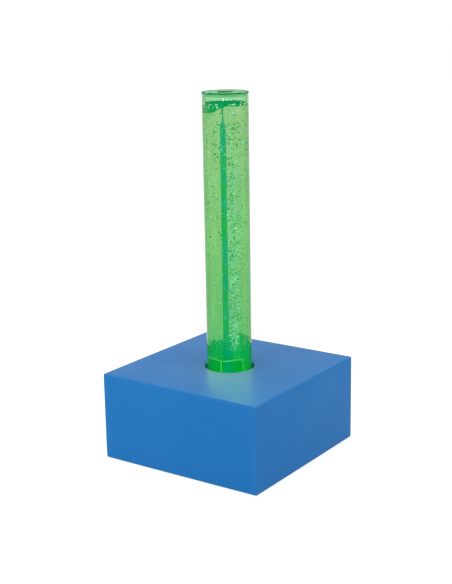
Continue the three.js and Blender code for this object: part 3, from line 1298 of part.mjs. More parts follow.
baseFeet();
addPart('base_plate', basePlate(), WHITE_ENAMEL);
addPart('deck_plate', deckPlate(), WHITE_ENAMEL);
housingPanels();

addPart('lamp_bracket', lampBracket(), STEEL);
addPart('lamp_reflector', lampReflector(), LAMP_SILVER);
addPart('lamp_holder', lampHolder(), CERAMIC);
addPart('wheel_frame', wheelFrame(), STEEL);
addPart('filter_disc', filterDisc(), FILTER_GREEN);
addPart('wheel_motor', wheelMotor(), STEEL);

addPart('fan_frame', fanFrame(), BLACK_PLASTIC);
addPart('fan_rotor', fanRotor(), BLACK_PLASTIC);

addPart('pump_base', pumpBase(), GREY_PLASTIC);
addPart('pump_armature', pumpArmature(), STEEL);
addPart('pump_coil', pumpCoil(), COPPER);
addPart('pump_diaphragm', pumpDiaphragm(), BLACK_RUBBER);
addPart('valve_block', valveBlock(), GREY_PLASTIC);
addPart('check_valve', checkValve(), BLACK_PLASTIC);
addPart('air_inlet_barb', airInletBarb(), BRASS);
addPart('air_hose', airHose(), CLEAR_HOSE);

transformer();
addPart('terminal_block', terminalBlock(), GREY_PLASTIC);
addPart('power_inlet', powerInlet(), BLACK_PLASTIC);
addPart('switch_bezel', switchBezel(), BLACK_PLASTIC);
addPart('power_rocker', powerRocker(), BLACK_PLASTIC);

addPart('drain_pipe', drainPipe(), BRASS);
addPart('drain_valve_body', drainValveBody(), BRASS);
addPart('drain_lever', drainLever(), LEVER_RED);

export default bubbleTube;
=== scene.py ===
"""Looks of a sensory bubble tube that stands in a square padded plinth.

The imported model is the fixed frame. Each class makes or dresses one sub-assembly:
the studio, the padded plinth, the water column and the base unit hidden below it.
All sizes are in metres, in the frame's own place.
"""

import json
import logging
import math
import random
from collections.abc import Callable, Iterator
from contextlib import contextmanager
from dataclasses import dataclass
from enum import Enum

import bmesh
import bpy
from mathutils import Matrix, Vector


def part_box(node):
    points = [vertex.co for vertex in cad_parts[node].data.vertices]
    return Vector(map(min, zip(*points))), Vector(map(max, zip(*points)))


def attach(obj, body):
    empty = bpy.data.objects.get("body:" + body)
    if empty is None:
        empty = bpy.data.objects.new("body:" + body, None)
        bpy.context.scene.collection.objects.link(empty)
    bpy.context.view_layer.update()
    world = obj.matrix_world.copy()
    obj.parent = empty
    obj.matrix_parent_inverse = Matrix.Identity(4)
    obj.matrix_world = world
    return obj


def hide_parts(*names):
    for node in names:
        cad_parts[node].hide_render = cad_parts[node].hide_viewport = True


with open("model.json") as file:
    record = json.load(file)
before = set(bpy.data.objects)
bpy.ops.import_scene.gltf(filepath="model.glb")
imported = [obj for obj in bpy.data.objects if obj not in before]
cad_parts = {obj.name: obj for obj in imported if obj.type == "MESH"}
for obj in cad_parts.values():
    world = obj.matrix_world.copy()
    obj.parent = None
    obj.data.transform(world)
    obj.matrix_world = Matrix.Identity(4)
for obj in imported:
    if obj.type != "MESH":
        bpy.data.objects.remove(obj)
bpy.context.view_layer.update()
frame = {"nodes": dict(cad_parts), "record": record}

LOG = logging.getLogger("bubble_tube")
QUARTER = math.pi / 2
Colour = tuple[float, float, float, float]
Triple = tuple[float, float, float]
Outline = list[tuple[float, float]]
Bubbles = list[tuple[Vector, float]]
Ring = list[Vector]
Piece = bpy.types.Object
Material = bpy.types.Material
Tree = bpy.types.NodeTree
Socket = bpy.types.NodeSocket
Value = Socket | float
FULL_WHITE: Colour = (1.0, 1.0, 1.0, 1.0)


def tint(red: int, green: int, blue: int) -> Colour:
    """Turns a colour of 0 to 255, as a screen shows it, into linear light.

    Args:
        red: Red share on the screen.
        green: Green share on the screen.
        blue: Blue share on the screen.

    Returns:
        The linear colour with full opacity.
    """
    shares = [value / 255 for value in (red, green, blue)]
    linear = [s / 12.92 if s <= 0.04045 else ((s + 0.055) / 1.055) ** 2.4 for s in shares]
    return (*linear, 1.0)


def dimmed(colour: Colour, share: float) -> Colour:
    """Gives a colour at a share of its strength, with full opacity."""
    return (*(share * part for part in colour[:3]), 1.0)


class Nodes:
    """Short calls for the nodes of one tree."""

    def __init__(self, tree: Tree) -> None:
        """Takes the tree that the nodes go into."""
        self.tree = tree

    def add(self, kind: str, inputs: dict | None = None, **settings: object) -> bpy.types.Node:
        """Adds a node, sets it and joins its inputs.

        Args:
            kind: Blender's name for the node type.
            inputs: Each input's value, or the socket that feeds it.
            **settings: The node's own settings.

        Returns:
            The new node.
        """
        node = self.tree.nodes.new(kind)
        for label, value in settings.items():
            setattr(node, label, value)
        self.join(node, inputs or {})
        return node

    def join(self, node: bpy.types.Node, inputs: dict) -> None:
        """Sets a node's inputs.

        Args:
            node: The node.
            inputs: Each input's value, or the socket that feeds it.
        """
        for label, value in inputs.items():
            if isinstance(value, Socket):
                self.tree.links.new(value, node.inputs[label])
            else:
                node.inputs[label].default_value = value

    def value(self, way: str, first: Value, second: Value = 0.0) -> Socket:
        """Works out one value from two, in a way that the math node knows."""
        return self.add("ShaderNodeMath", {0: first, 1: second}, operation=way).outputs[0]

    def times(self, first: Value, second: Value) -> Socket:
        """Multiplies two values."""
        return self.value("MULTIPLY", first, second)

    def noise(self, place: Socket, cells: Value, detail: float, squeeze: Triple = (1.0, 1.0, 1.0)) -> Socket:
        """Gives cloudy noise from 0 to 1.

        Args:
            place: Where the noise is looked up.
            cells: How many cells it has to a metre.
            detail: How many finer layers it has.
            squeeze: The share of the cells along each axis.

        Returns:
            The noise.
        """
        if squeeze != (1.0, 1.0, 1.0):
            place = self.add("ShaderNodeMapping", {"Vector": place, "Scale": squeeze}).outputs["Vector"]
        return self.add("ShaderNodeTexNoise", {"Vector": place, "Scale": cells, "Detail": detail}).outputs[0]

    def span(self, value: Value, low: float, high: float, first: float = 0.0, last: float = 1.0) -> Socket:
        """Moves a value's span from low and high to first and last, and keeps it there."""
        inputs = {"Value": value, "From Min": low, "From Max": high, "To Min": first, "To Max": last}
        return self.add("ShaderNodeMapRange", inputs, clamp=True).outputs[0]

    def blend(self, share: Value, first: object, second: object, way: str = "MIX") -> Socket:
        """Blends two colours by the share of the second that shows."""
        inputs = {0: share, 6: first, 7: second}
        return self.add("ShaderNodeMix", inputs, data_type="RGBA", blend_type=way).outputs[2]

    def ramp(self, value: Value, stops: list[tuple[float, Colour]], step: bool = False) -> Socket:
        """Turns a value into a colour by stops along it.

        Args:
            value: The value, from 0 to 1.
            stops: Each stop's place and colour.
            step: True for hard borders between the colours.

        Returns:
            The colour.
        """
        node = self.add("ShaderNodeValToRGB", {"Fac": value})
        node.color_ramp.interpolation = "CONSTANT" if step else "LINEAR"
        points = node.color_ramp.elements
        while len(points) < len(stops):
            points.new(1.0)
        for point, (place, colour) in zip(points, stops):
            point.position, point.color = place, colour
        return node.outputs["Color"]


# Shared patterns: node groups that put out values which change over a surface


class Pattern(Enum):
    """The shared patterns, by the name of their node group."""

    LEATHER = "leather_grain"
    MOULDED = "moulded_grain"
    BRUSHED = "brushed_lines"
    UNEVEN = "uneven_tone"
    DUST = "settled_dust"


class PatternBook:
    """Builds each shared pattern once and hands out its node group."""

    def __init__(self) -> None:
        """Starts with no pattern built."""
        self.groups: dict[Pattern, Tree] = {}

    def group(self, pattern: Pattern) -> Tree:
        """Gives a pattern's node group, and builds it at its first use.

        Args:
            pattern: The pattern that is wanted.

        Returns:
            The node group, which takes a place and one measure.
        """
        if pattern not in self.groups:
            tree = bpy.data.node_groups.new(pattern.value, "ShaderNodeTree")
            measure = "Amount" if pattern is Pattern.DUST else "Cells"
            for label, kind in (("Place", "NodeSocketVector"), (measure, "NodeSocketFloat")):
                tree.interface.new_socket(name=label, in_out="INPUT", socket_type=kind)
            nodes = Nodes(tree)
            start = nodes.add("NodeGroupInput").outputs
            made = self.build(pattern, nodes, start["Place"], start[measure])
            for label in made:
                tree.interface.new_socket(name=label, in_out="OUTPUT", socket_type="NodeSocketFloat")
            nodes.join(nodes.add("NodeGroupOutput"), made)
            self.groups[pattern] = tree
        return self.groups[pattern]

    def build(self, pattern: Pattern, nodes: Nodes, place: Socket, measure: Socket) -> dict[str, Socket]:
        """Builds the inside of a pattern's group.

        Args:
            pattern: The pattern that is built.
            nodes: The group's nodes.
            place: The place on the piece.
            measure: The cells to a metre, or how much dust there is.

        Returns:
            What the group puts out, by name.
        """
        if pattern is Pattern.LEATHER:
            # Fine pebbled grain of coated cloth: a height and its creases
            inputs = {"Vector": place, "Scale": measure, "Randomness": 0.9}
            pebbles = nodes.add("ShaderNodeTexVoronoi", inputs).outputs["Distance"]
            soft = nodes.times(nodes.noise(place, nodes.times(measure, 0.35), 3.0), 0.6)
            height = nodes.value("SUBTRACT", soft, nodes.value("POWER", pebbles, 2.0))
            return {"Height": height, "Creases": nodes.span(pebbles, 0.35, 0.75)}
        if pattern is Pattern.MOULDED:
            # Fine even spark grain of a moulding or a powder coat
            return {"Height": nodes.noise(place, measure, 2.0)}
        if pattern is Pattern.BRUSHED:
            # Long fine lines of brushed or drawn metal along X
            return {"Height": nodes.noise(place, measure, 3.0, (0.03, 1.0, 1.0))}
        if pattern is Pattern.UNEVEN:
            # Broad and fine clouds, for tone and gloss that vary
            broad = nodes.times(nodes.noise(place, measure, 4.0), 0.7)
            fine = nodes.times(nodes.noise(place, nodes.times(measure, 9.0), 4.0), 0.3)
            return {"Mask": nodes.span(nodes.value("ADD", broad, fine), 0.35, 0.65)}
        # Dust that lies on faces turned up, in uneven patches
        normal = nodes.add("ShaderNodeNewGeometry").outputs["Normal"]
        upward = nodes.add("ShaderNodeSeparateXYZ", {"Vector": normal}).outputs["Z"]
        patches = nodes.span(nodes.noise(place, 60.0, 5.0), 0.3, 0.8)
        return {"Mask": nodes.times(nodes.times(nodes.span(upward, 0.4, 0.95), patches), measure)}


PATTERNS = PatternBook()


class Recipe(Nodes):
    """Node tree of one material, around its Principled shader."""

    def __init__(self, name: str) -> None:
        """Makes the material, and opens the place on the piece that its patterns follow.

        Args:
            name: The material's name.
        """
        self.material = bpy.data.materials.new(name)
        self.material.use_nodes = True
        super().__init__(self.material.node_tree)
        self.place = self.add("ShaderNodeTexCoord").outputs["Object"]

    def feed(self, inputs: dict[str, object]) -> None:
        """Sets the shader's inputs to values, or feeds them from sockets."""
        self.join(self.tree.nodes["Principled BSDF"], inputs)

    def pattern(self, pattern: Pattern, measure: float) -> bpy.types.bpy_prop_collection:
        """Places a shared pattern with its own measure and gives what it puts out."""
        inputs = {0: self.place, 1: measure}
        return self.add("ShaderNodeGroup", inputs, node_tree=PATTERNS.group(pattern)).outputs

    def uneven(self, cells: float) -> Socket:
        """Gives the uneven clouds, from 0 to 1, with so many cells to a metre."""
        return self.pattern(Pattern.UNEVEN, cells)["Mask"]

    def relief(self, height: Socket, strength: float, depth: float) -> None:
        """Turns a height into the surface's fine relief."""
        inputs = {"Height": height, "Strength": strength, "Distance": depth}
        self.feed({"Normal": self.add("ShaderNodeBump", inputs).outputs["Normal"]})

    def axis(self, name: str) -> Socket:
        """Gives one coordinate of the place, by its letter."""
        return self.add("ShaderNodeSeparateXYZ", {"Vector": self.place}).outputs[name]


# Finishes


@dataclass(frozen=True)
class Finish:
    """A surface finish: its name and what its material is mixed from."""

    name: str

    def material(self) -> Material:
        """Gives the material, mixed at its first use.

        Returns:
            The material.
        """
        if self.name not in bpy.data.materials:
            self.fill(Recipe(self.name))
        return bpy.data.materials[self.name]

    def fill(self, mix: Recipe) -> None:
        """Fills the material's recipe.

        Args:
            mix: The recipe, with its shader at plain values.
        """
        raise NotImplementedError


@dataclass(frozen=True)
class Vinyl(Finish):
    """Coated upholstery cloth with a fine pebbled grain and painted shade in its creases, rubbed paler along
    its edges, with a painted highlight at the well's lip.
    """

    colour: Colour
    deep: Colour
    rubbed: Colour
    cells: float = 850.0
    sheen: float = 0.07
    gloss: tuple[float, float] = (0.33, 0.41)

    def fill(self, mix: Recipe) -> None:
        """Fills in the grain with painted shade in its creases, the uneven tone, and the worn paler edges
        with a painted highlight at the well's lip.

        Args:
            mix: The material\'s recipe.
        """
        grain = mix.pattern(Pattern.LEATHER, self.cells)
        uneven = mix.uneven(4.0)
        base = mix.blend(mix.times(uneven, 0.5), self.colour, self.deep)
        # Painted shade: the grain's creases are darkened towards the deep tone
        crease_shaded = mix.blend(mix.times(grain["Creases"], 0.22), base, self.deep)
        # The paler mark is wear on the top edges and corners, and a painted highlight at the well's lip
        wear_and_highlight_mask = mix.add("ShaderNodeAttribute", attribute_name="rubbed").outputs["Fac"]
        patchy = mix.times(wear_and_highlight_mask, mix.span(uneven, 0.0, 1.0, 0.05, 0.3))
        mix.feed({
            "Specular IOR Level": self.sheen,
            "Base Color": mix.blend(patchy, crease_shaded, self.rubbed),
            "Roughness": mix.span(uneven, 0.0, 1.0, *self.gloss),
        })
        mix.relief(grain["Height"], 0.16, 0.00018)


@dataclass(frozen=True)
class Acrylic(Finish):
    """Clear or tinted acrylic with the faint upright lines of its extrusion."""

    colour: Triple
    streak: Triple
    rim: Triple
    ior: float = 1.49
    roughness: float = 0.012
    mirror: float = 0.1
    rim_span: tuple[float, float] = (0.32, 0.66)
    # Painted reflection: a glow colour that only mirror rays see
    reflected_glow: Triple = (0.0, 0.0, 0.0)
    glow_foot: tuple[float, float] = (0.28, 0.30)

    def fill(self, mix: Recipe) -> None:
        """Fills in faint lines, a darker rim and a painted reflection: a glow that only a mirror of the
        piece shows.

        Args:
            mix: The material\'s recipe.
        """
        path = mix.add("ShaderNodeLightPath").outputs
        within = mix.add("ShaderNodeNewGeometry").outputs["Backfacing"]
        reflected = mix.value("SUBTRACT", path["Is Glossy Ray"], path["Is Transmission Ray"])
        mirrored = mix.value("SUBTRACT", reflected, within)
        # Painted reflection: the piece glows for mirror rays only, above the glow's foot, so its reflection
        # in the vinyl shows lit green
        shown = mix.times(mirrored, mix.span(mix.axis("Z"), *self.glow_foot))
        lines = mix.noise(mix.place, 55.0, 3.0, (1.0, 1.0, 0.04))
        body = mix.blend(mix.span(lines, 0.35, 0.7), (*self.colour, 1.0), (*self.streak, 1.0))
        turned_off = mix.add("ShaderNodeLayerWeight", {"Blend": 0.5}).outputs["Facing"]
        mix.feed({
            "IOR": self.ior,
            "Roughness": self.roughness,
            "Transmission Weight": 1.0,
            "Specular Tint": dimmed(FULL_WHITE, self.mirror),
            "Base Color": mix.blend(mix.span(turned_off, *self.rim_span), body, (*self.rim, 1.0)),
            "Emission Strength": 1.0,
            "Emission Color": mix.blend(shown, (0.0, 0.0, 0.0, 1.0), (*self.reflected_glow, 1.0)),
        })
        mix.relief(lines, 0.012, 0.0006)


@dataclass(frozen=True)
class LitWater(Finish):
    """Water that glows with the lamp's light, from the foot to the surface."""

    tones: tuple[Triple, ...]
    glow: Triple
    strength: float
    low: float
    high: float
    heights: tuple[float, ...] = (0.13, 0.22, 0.5, 1.0)

    def fill(self, mix: Recipe) -> None:
        """Fills in the tint by height, soft upright streaks and the glow.

        Args:
            mix: The material\'s recipe.
        """
        stops = [(height, (*tone, 1.0)) for height, tone in zip(self.heights, self.tones)]
        body = mix.ramp(mix.span(mix.axis("Z"), self.low, self.high), stops)
        streaks = mix.noise(mix.place, 60.0, 5.0, (1.0, 1.0, 0.12))
        fade = mix.span(streaks, 0.3, 0.7, 0.8, 1.0)
        mix.feed({
            "IOR": 1.333,
            "Roughness": 0.0,
            "Transmission Weight": 1.0,
            "Specular Tint": dimmed(FULL_WHITE, 0.05),
            "Base Color": mix.blend(1.0, body, fade, "MULTIPLY"),
            "Emission Strength": self.strength,
            "Emission Color": mix.blend(1.0, (*self.glow, 1.0), fade, "MULTIPLY"),
        })


@dataclass(frozen=True)
class Glow(Finish):
    """A small shape that catches the lamp's light, such as a bubble or a cut edge."""

    colour: Colour
    strength: float
    roughness: float = 0.12
    cells: float = 30.0
    gloss: float = 0.3

    def fill(self, mix: Recipe) -> None:
        """Fills in the tinted shape, some of them brighter than the others.

        Args:
            mix: The material\'s recipe.
        """
        shown = mix.blend(mix.uneven(self.cells), self.colour, dimmed(self.colour, 0.6))
        mix.feed({
            "IOR": 1.2,
            "Roughness": self.roughness,
            "Specular IOR Level": self.gloss,
            "Base Color": shown,
            "Emission Strength": self.strength,
            "Emission Color": shown,
        })


@dataclass(frozen=True)
class Banded(Finish):
    """A pipe whose colour shifts along its length between two tones."""

    first: Colour
    second: Colour
    strength: float = 0.36

    def fill(self, mix: Recipe) -> None:
        """Fills in uneven bands along Z, with a faint glow from within.

        Args:
            mix: The material\'s recipe.
        """
        bands = mix.span(mix.noise(mix.place, 11.0, 2.0, (0.05, 0.05, 1.0)), 0.44, 0.56)
        fine = mix.noise(mix.place, 180.0, 3.0)
        speckled = mix.value("ADD", bands, mix.span(fine, 0.3, 0.7, -0.15, 0.15))
        shown = mix.blend(speckled, self.first, self.second)
        mix.feed({
            "Roughness": 0.25,
            "Base Color": shown,
            "Emission Strength": self.strength,
            "Emission Color": shown,
        })
        mix.relief(fine, 0.1, 0.0004)


@dataclass(frozen=True)
class Solid(Finish):
    """Plastic, rubber, paint, metal or stone with its grain, uneven gloss and dust."""

    colour: Colour
    roughness: float = 0.45
    metal: float = 0.0
    grain: Pattern = Pattern.MOULDED
    cells: float = 1400.0
    relief: float = 0.08
    dust: float = 0.12
    dust_colour: Colour = tint(176, 170, 160)

    def fill(self, mix: Recipe) -> None:
        """Fills in the tone, the gloss and the grain.

        Args:
            mix: The material\'s recipe.
        """
        uneven = mix.uneven(14.0)
        body = mix.blend(mix.times(uneven, 0.6), self.colour, dimmed(self.colour, 0.82))
        dust = mix.pattern(Pattern.DUST, self.dust)["Mask"]
        gloss = mix.span(uneven, 0.0, 1.0, self.roughness * 0.85, min(1.0, self.roughness * 1.2))
        mix.feed({
            "Metallic": self.metal,
            "Base Color": mix.blend(dust, body, self.dust_colour),
            "Roughness": mix.value("ADD", gloss, mix.times(dust, 0.4)),
        })
        mix.relief(mix.pattern(self.grain, self.cells)["Height"], self.relief, 0.0003)


@dataclass(frozen=True)
class Plywood(Finish):
    """Birch plywood with its long grain and its pores."""

    pale: Colour
    dark: Colour

    def fill(self, mix: Recipe) -> None:
        """Fills in the long grain and the pores along Z.

        Args:
            mix: The material\'s recipe.
        """
        along = (1.0, 1.0, 0.12)
        grain = mix.noise(mix.place, 45.0, 6.0, along)
        pores = mix.noise(mix.place, 900.0, 2.0, along)
        body = mix.ramp(mix.span(grain, 0.3, 0.7), [(0.6, self.pale), (1.0, self.dark)])
        mix.feed({
            "Base Color": mix.blend(mix.span(pores, 0.58, 0.7, 0.0, 0.5), body, self.dark),
            "Roughness": mix.span(grain, 0.3, 0.7, 0.62, 0.78),
        })
        mix.relief(pores, 0.2, 0.0003)


@dataclass(frozen=True)
class Foam(Finish):
    """Upholstery foam with its open cells, a little over a millimetre wide."""

    colour: Colour
    deep: Colour
    cells: float = 620.0

    def fill(self, mix: Recipe) -> None:
        """Fills in the open cells, with painted shade in their pits.

        Args:
            mix: The material\'s recipe.
        """
        inputs = {"Vector": mix.place, "Scale": self.cells}
        pits = mix.span(mix.add("ShaderNodeTexVoronoi", inputs).outputs["Distance"], 0.1, 0.6)
        # Painted shade: the cells' pits are darkened towards the deep tone
        mix.feed({
            "Base Color": mix.blend(pits, self.deep, self.colour),
            "Roughness": mix.span(mix.uneven(10.0), 0.0, 1.0, 0.85, 1.0),
        })
        mix.relief(pits, 0.5, 0.0006)


@dataclass(frozen=True)
class Striped(Finish):
    """Fine even stripes along one axis, such as wound wire or stacked sheet steel."""

    colour: Colour
    groove: Colour
    pitch: float
    axis: str = "Z"
    roughness: float = 0.35

    def fill(self, mix: Recipe) -> None:
        """Fills in one groove to each turn or sheet, darkened as painted shade.

        Args:
            mix: The material\'s recipe.
        """
        wave = mix.value("SINE", mix.times(mix.axis(self.axis), 2 * math.pi / self.pitch))
        share = mix.span(wave, -1.0, 0.2)
        # Painted shade: each groove between turns or sheets is darkened
        mix.feed({
            "Metallic": 1.0,
            "Base Color": mix.blend(share, self.groove, self.colour),
            "Roughness": mix.span(mix.uneven(40.0), 0.0, 1.0, self.roughness * 0.8, self.roughness * 1.3),
        })
        mix.relief(share, 0.5, self.pitch * 0.3)


@dataclass(frozen=True)
class Sectors(Finish):
    """Coloured filter film in equal sectors about a centre."""

    colours: tuple[Colour, ...]
    centre: Triple

    def fill(self, mix: Recipe) -> None:
        """Fills in clear film with one colour to a sector.

        Args:
            mix: The material\'s recipe.
        """
        inputs = {0: mix.place, 1: self.centre}
        moved = mix.add("ShaderNodeVectorMath", inputs, operation="SUBTRACT").outputs["Vector"]
        parts = mix.add("ShaderNodeSeparateXYZ", {"Vector": moved}).outputs
        turn = mix.span(mix.value("ARCTAN2", parts["Y"], parts["X"]), -math.pi, math.pi)
        stops = [(i / len(self.colours), colour) for i, colour in enumerate(self.colours)]
        mix.feed({
            "Transmission Weight": 0.7,
            "IOR": 1.45,
            "Base Color": mix.ramp(turn, stops, step=True),
            "Roughness": mix.span(mix.uneven(60.0), 0.0, 1.0, 0.1, 0.25),
        })


class Finishes:
    """Every finish: those of the material slots by the slot's name, then the modelled pieces' own."""

    BLUE_VINYL = Vinyl("vinyl_blue", tint(38, 122, 192), tint(32, 112, 184), tint(68, 142, 204))
    FOAM = Foam("foam_open_cell", tint(228, 218, 184), tint(168, 156, 120))
    PLYWOOD = Plywood("birch_plywood", tint(214, 180, 130), tint(176, 134, 84))
    BLACK_RUBBER = Solid("rubber_black", tint(28, 28, 30), 0.7, relief=0.2)
    CLEAR_ACRYLIC = Acrylic(
        "acrylic_flange", (0.86, 0.95, 0.9), (0.8, 0.92, 0.86), (0.7, 0.85, 0.8), mirror=0.03,
    )
    LIT_WATER = LitWater(
        "water_lit",
        ((0.14, 0.22, 0.36), (0.46, 0.22, 0.38), (0.65, 0.27, 0.42), (1.0, 0.3, 0.56)),
        (0.0, 1.0, 0.09), 0.345, 0.209, 1.167,
    )
    GREEN_PIPE = Banded("pipe_green", tint(30, 164, 206), tint(48, 178, 140))
    STEEL = Solid("steel_zinc", tint(178, 182, 186), 0.34, 1.0, Pattern.BRUSHED, 700.0, 0.1)
    WHITE_HOUSING = Solid("housing_white", tint(226, 228, 230), 0.38, cells=500.0, relief=0.12)
    BRIGHT_ALUMINIUM = Solid(
        "aluminium_bright", tint(222, 224, 226), 0.16, 1.0, Pattern.BRUSHED, 900.0, 0.04, 0.03,
    )
    LAMP_GLASS = Acrylic("lamp_glass", (0.95, 0.96, 0.96), (0.9, 0.92, 0.92), (0.7, 0.72, 0.72), 1.46)
    CERAMIC = Solid("ceramic_cream", tint(232, 226, 210), 0.4, relief=0.06)
    COLOUR_FILTER = Sectors(
        "filter_film",
        (tint(230, 60, 50), tint(250, 200, 40), tint(40, 120, 220), tint(70, 200, 80)), (-0.06, 0.0, 0.17),
    )
    BLACK_PLASTIC = Solid("plastic_black", tint(30, 31, 33), 0.42)
    GREY_PLASTIC = Solid("plastic_grey", tint(122, 126, 130), 0.46)
    COPPER_WINDING = Striped("copper_winding", tint(196, 112, 66), tint(92, 44, 24), 0.0011)
    BRASS_FITTING = Solid("brass_fitting", tint(204, 168, 92), 0.28, 1.0, Pattern.BRUSHED, 800.0, 0.06)
    CLEAR_HOSE = Acrylic("hose_clear", (0.82, 0.9, 0.88), (0.76, 0.86, 0.84), (0.6, 0.7, 0.68), 1.4, 0.2)
    LAMINATION_STEEL = Striped("steel_laminations", tint(140, 144, 150), tint(52, 54, 58), 0.001, "X")
    RED_GRIP = Solid("grip_red", tint(178, 34, 30), 0.38)
    # The tube carries a painted reflection: it glows green only in mirrors, such as the vinyl top before it
    TUBE = Acrylic(
        "acrylic_tube", (0.55, 0.8, 0.57), (0.5, 0.76, 0.53), (0.04, 0.34, 0.05),
        reflected_glow=(1.9, 2.8, 0.3),
    )
    BORE = Acrylic("acrylic_bore", (0.55, 0.8, 0.57), (0.5, 0.76, 0.53), (0.3, 0.6, 0.34))
    LID = Acrylic("acrylic_lid", (0.5, 0.8, 0.6), (0.44, 0.76, 0.54), (0.46, 0.76, 0.56), 1.01)
    CUT = Glow("acrylic_cut_edge", tint(12, 142, 78), 0.28, 0.3, gloss=0.0)
    BOX = Acrylic("acrylic_box", (0.8, 0.96, 0.84), (0.74, 0.92, 0.78), (0.6, 0.85, 0.65), 1.12)
    LIT_EDGE = Glow("edge_lit_cut", tint(170, 240, 150), 1.2)
    NEAR_EDGE = Glow("edge_lit_near", tint(170, 250, 156), 3.2)
    SOCKET = Banded("socket_teal", tint(4, 156, 206), tint(8, 160, 190))
    # Painted light: clear air bubbles in a lit copy, a shaded copy and a painted glint, which also paints
    # the pipe tip's highlight and the froth's sparkles
    MINT = Glow("bubble_mint", tint(176, 236, 240), 0.95)
    TEAL = Glow("bubble_teal", tint(50, 140, 126), 0.16)
    WHITE = Glow("bubble_white", tint(232, 255, 240), 1.6)
    # Painted light: the froth's upper faces take a lighter, lit copy of its glow
    FROTH = Glow("froth_emerald", tint(0, 148, 178), 0.26, 0.22, 90.0, 0.0)
    FROTH_TOP = Glow("froth_lit_top_emerald", tint(0, 178, 132), 0.34, 0.22, 90.0, 0.0)


# The modelling bench


def shares(count: int, first: int = 1) -> list[float]:
    """Gives even shares from the first up to a whole."""
    return [i / count for i in range(first, count + 1)]


def choose(*pieces: Piece) -> None:
    """Selects some pieces alone and makes the first of them the active one.

    Args:
        *pieces: The pieces.
    """
    bpy.ops.object.select_all(action="DESELECT")
    for piece in pieces:
        piece.select_set(True)
    bpy.context.view_layer.objects.active = pieces[0]


def closeness(distance: float, reach: float) -> float:
    """Gives 1 at a distance of nothing, falling to 0 at the reach and beyond it."""
    return max(0.0, 1 - abs(distance) / reach)


@contextmanager
def editing(piece: Piece) -> Iterator[bmesh.types.BMesh]:
    """Opens a piece in edit mode and closes it again.

    Args:
        piece: The piece to shape.

    Yields:
        The piece's edit mesh, with its vertices in order.
    """
    choose(piece)
    bpy.ops.object.mode_set(mode="EDIT")
    mesh = bmesh.from_edit_mesh(piece.data)
    mesh.verts.ensure_lookup_table()
    try:
        yield mesh
    finally:
        bpy.ops.object.mode_set(mode="OBJECT")


def pick(mesh: bmesh.types.BMesh, kind: str, wanted: Callable[..., bool]) -> None:
    """Selects the faces or edges that a test wants, and no others.

    Args:
        mesh: The edit mesh.
        kind: FACE or EDGE.
        wanted: The test, on one of them.
    """
    bpy.ops.mesh.select_mode(type=kind)
    bpy.ops.mesh.select_all(action="DESELECT")
    for part in mesh.faces if kind == "FACE" else mesh.edges:
        if wanted(part):
            part.select_set(True)
    mesh.select_flush_mode()


def face_outwards() -> None:
    """Selects the whole mesh in edit mode and turns its faces outwards."""
    bpy.ops.mesh.select_all(action="SELECT")
    bpy.ops.mesh.normals_make_consistent(inside=False)


def added(name: str) -> Piece:
    """Names the primitive that was just added and puts its place into its mesh.

    Args:
        name: The piece's name.

    Returns:
        The piece.
    """
    bpy.ops.object.transform_apply(location=True, rotation=True, scale=True)
    piece = bpy.context.active_object
    piece.name = piece.data.name = name
    return piece


def block(name: str, middle: Vector, size: Vector, turn: float = 0.0) -> Piece:
    """Adds a block.

    Args:
        name: The piece's name.
        middle: Its middle.
        size: Its lengths along X, Y and Z.
        turn: The degrees that it is turned about Z.

    Returns:
        The block.
    """
    about_z = (0, 0, math.radians(turn))
    bpy.ops.mesh.primitive_cube_add(size=1.0, location=middle, rotation=about_z, scale=size)
    return added(name)


def drum(name: str, sides: int, radius: float, depth: float, middle: Vector) -> Piece:
    """Adds an upright drum with so many sides."""
    bpy.ops.mesh.primitive_cylinder_add(vertices=sides, radius=radius, depth=depth, location=middle)
    return added(name)


def modify(piece: Piece, kind: str, **settings: object) -> None:
    """Adds a modifier, sets it and applies it.

    Args:
        piece: The piece to change.
        kind: Blender's name for the modifier type.
        **settings: The modifier's settings.

    Raises:
        RuntimeError: The modifier left nothing of the piece.
    """
    choose(piece)
    modifier = piece.modifiers.new(kind.title(), kind)
    for label, value in settings.items():
        setattr(modifier, label, value)
    bpy.ops.object.modifier_apply(modifier=modifier.name)
    if not piece.data.polygons:
        raise RuntimeError(f"{piece.name}: {kind} left nothing of it")


def ease(piece: Piece, width: float, segments: int) -> None:
    """Breaks a piece's sharp edges."""
    settings = {"limit_method": "ANGLE", "angle_limit": math.radians(60)}
    modify(piece, "BEVEL", width=width, segments=segments, **settings)


def carve(piece: Piece, cutter: Piece, way: str = "DIFFERENCE") -> None:
    """Cuts a piece with a cutter, which is then thrown away."""
    modify(piece, "BOOLEAN", operation=way, object=cutter, solver="EXACT")
    bpy.data.objects.remove(cutter)


def turned(name: str, outline: Outline, sides: int, about: Triple = (0, 0, 0)) -> Piece:
    """Spins an outline about the Z axis, as on a lathe.

    Args:
        name: The piece's name.
        outline: The radius and height of each point. One that starts on the axis also ends there.
        sides: How many steps one turn has.
        about: Where the piece then stands.

    Returns:
        The turned piece.
    """
    bpy.ops.mesh.primitive_circle_add(vertices=len(outline), radius=0.01)
    piece = added(name)
    with editing(piece) as mesh:
        for vertex, (radius, height) in zip(mesh.verts, outline):
            vertex.co = (radius, 0.0, height)
        if not outline[0][0]:
            pick(mesh, "EDGE", lambda edge: not any(vertex.co.x for vertex in edge.verts))
            bpy.ops.mesh.delete(type="EDGE")
        bpy.ops.mesh.select_all(action="SELECT")
        bpy.ops.mesh.spin(steps=sides, angle=4 * QUARTER, center=(0, 0, 0), axis=(0, 0, 1))
        bpy.ops.mesh.select_all(action="SELECT")
        bpy.ops.mesh.remove_doubles(threshold=0.000005)
        bpy.ops.mesh.normals_make_consistent(inside=False)
    piece.data.transform(Matrix.Translation(about))
    return piece


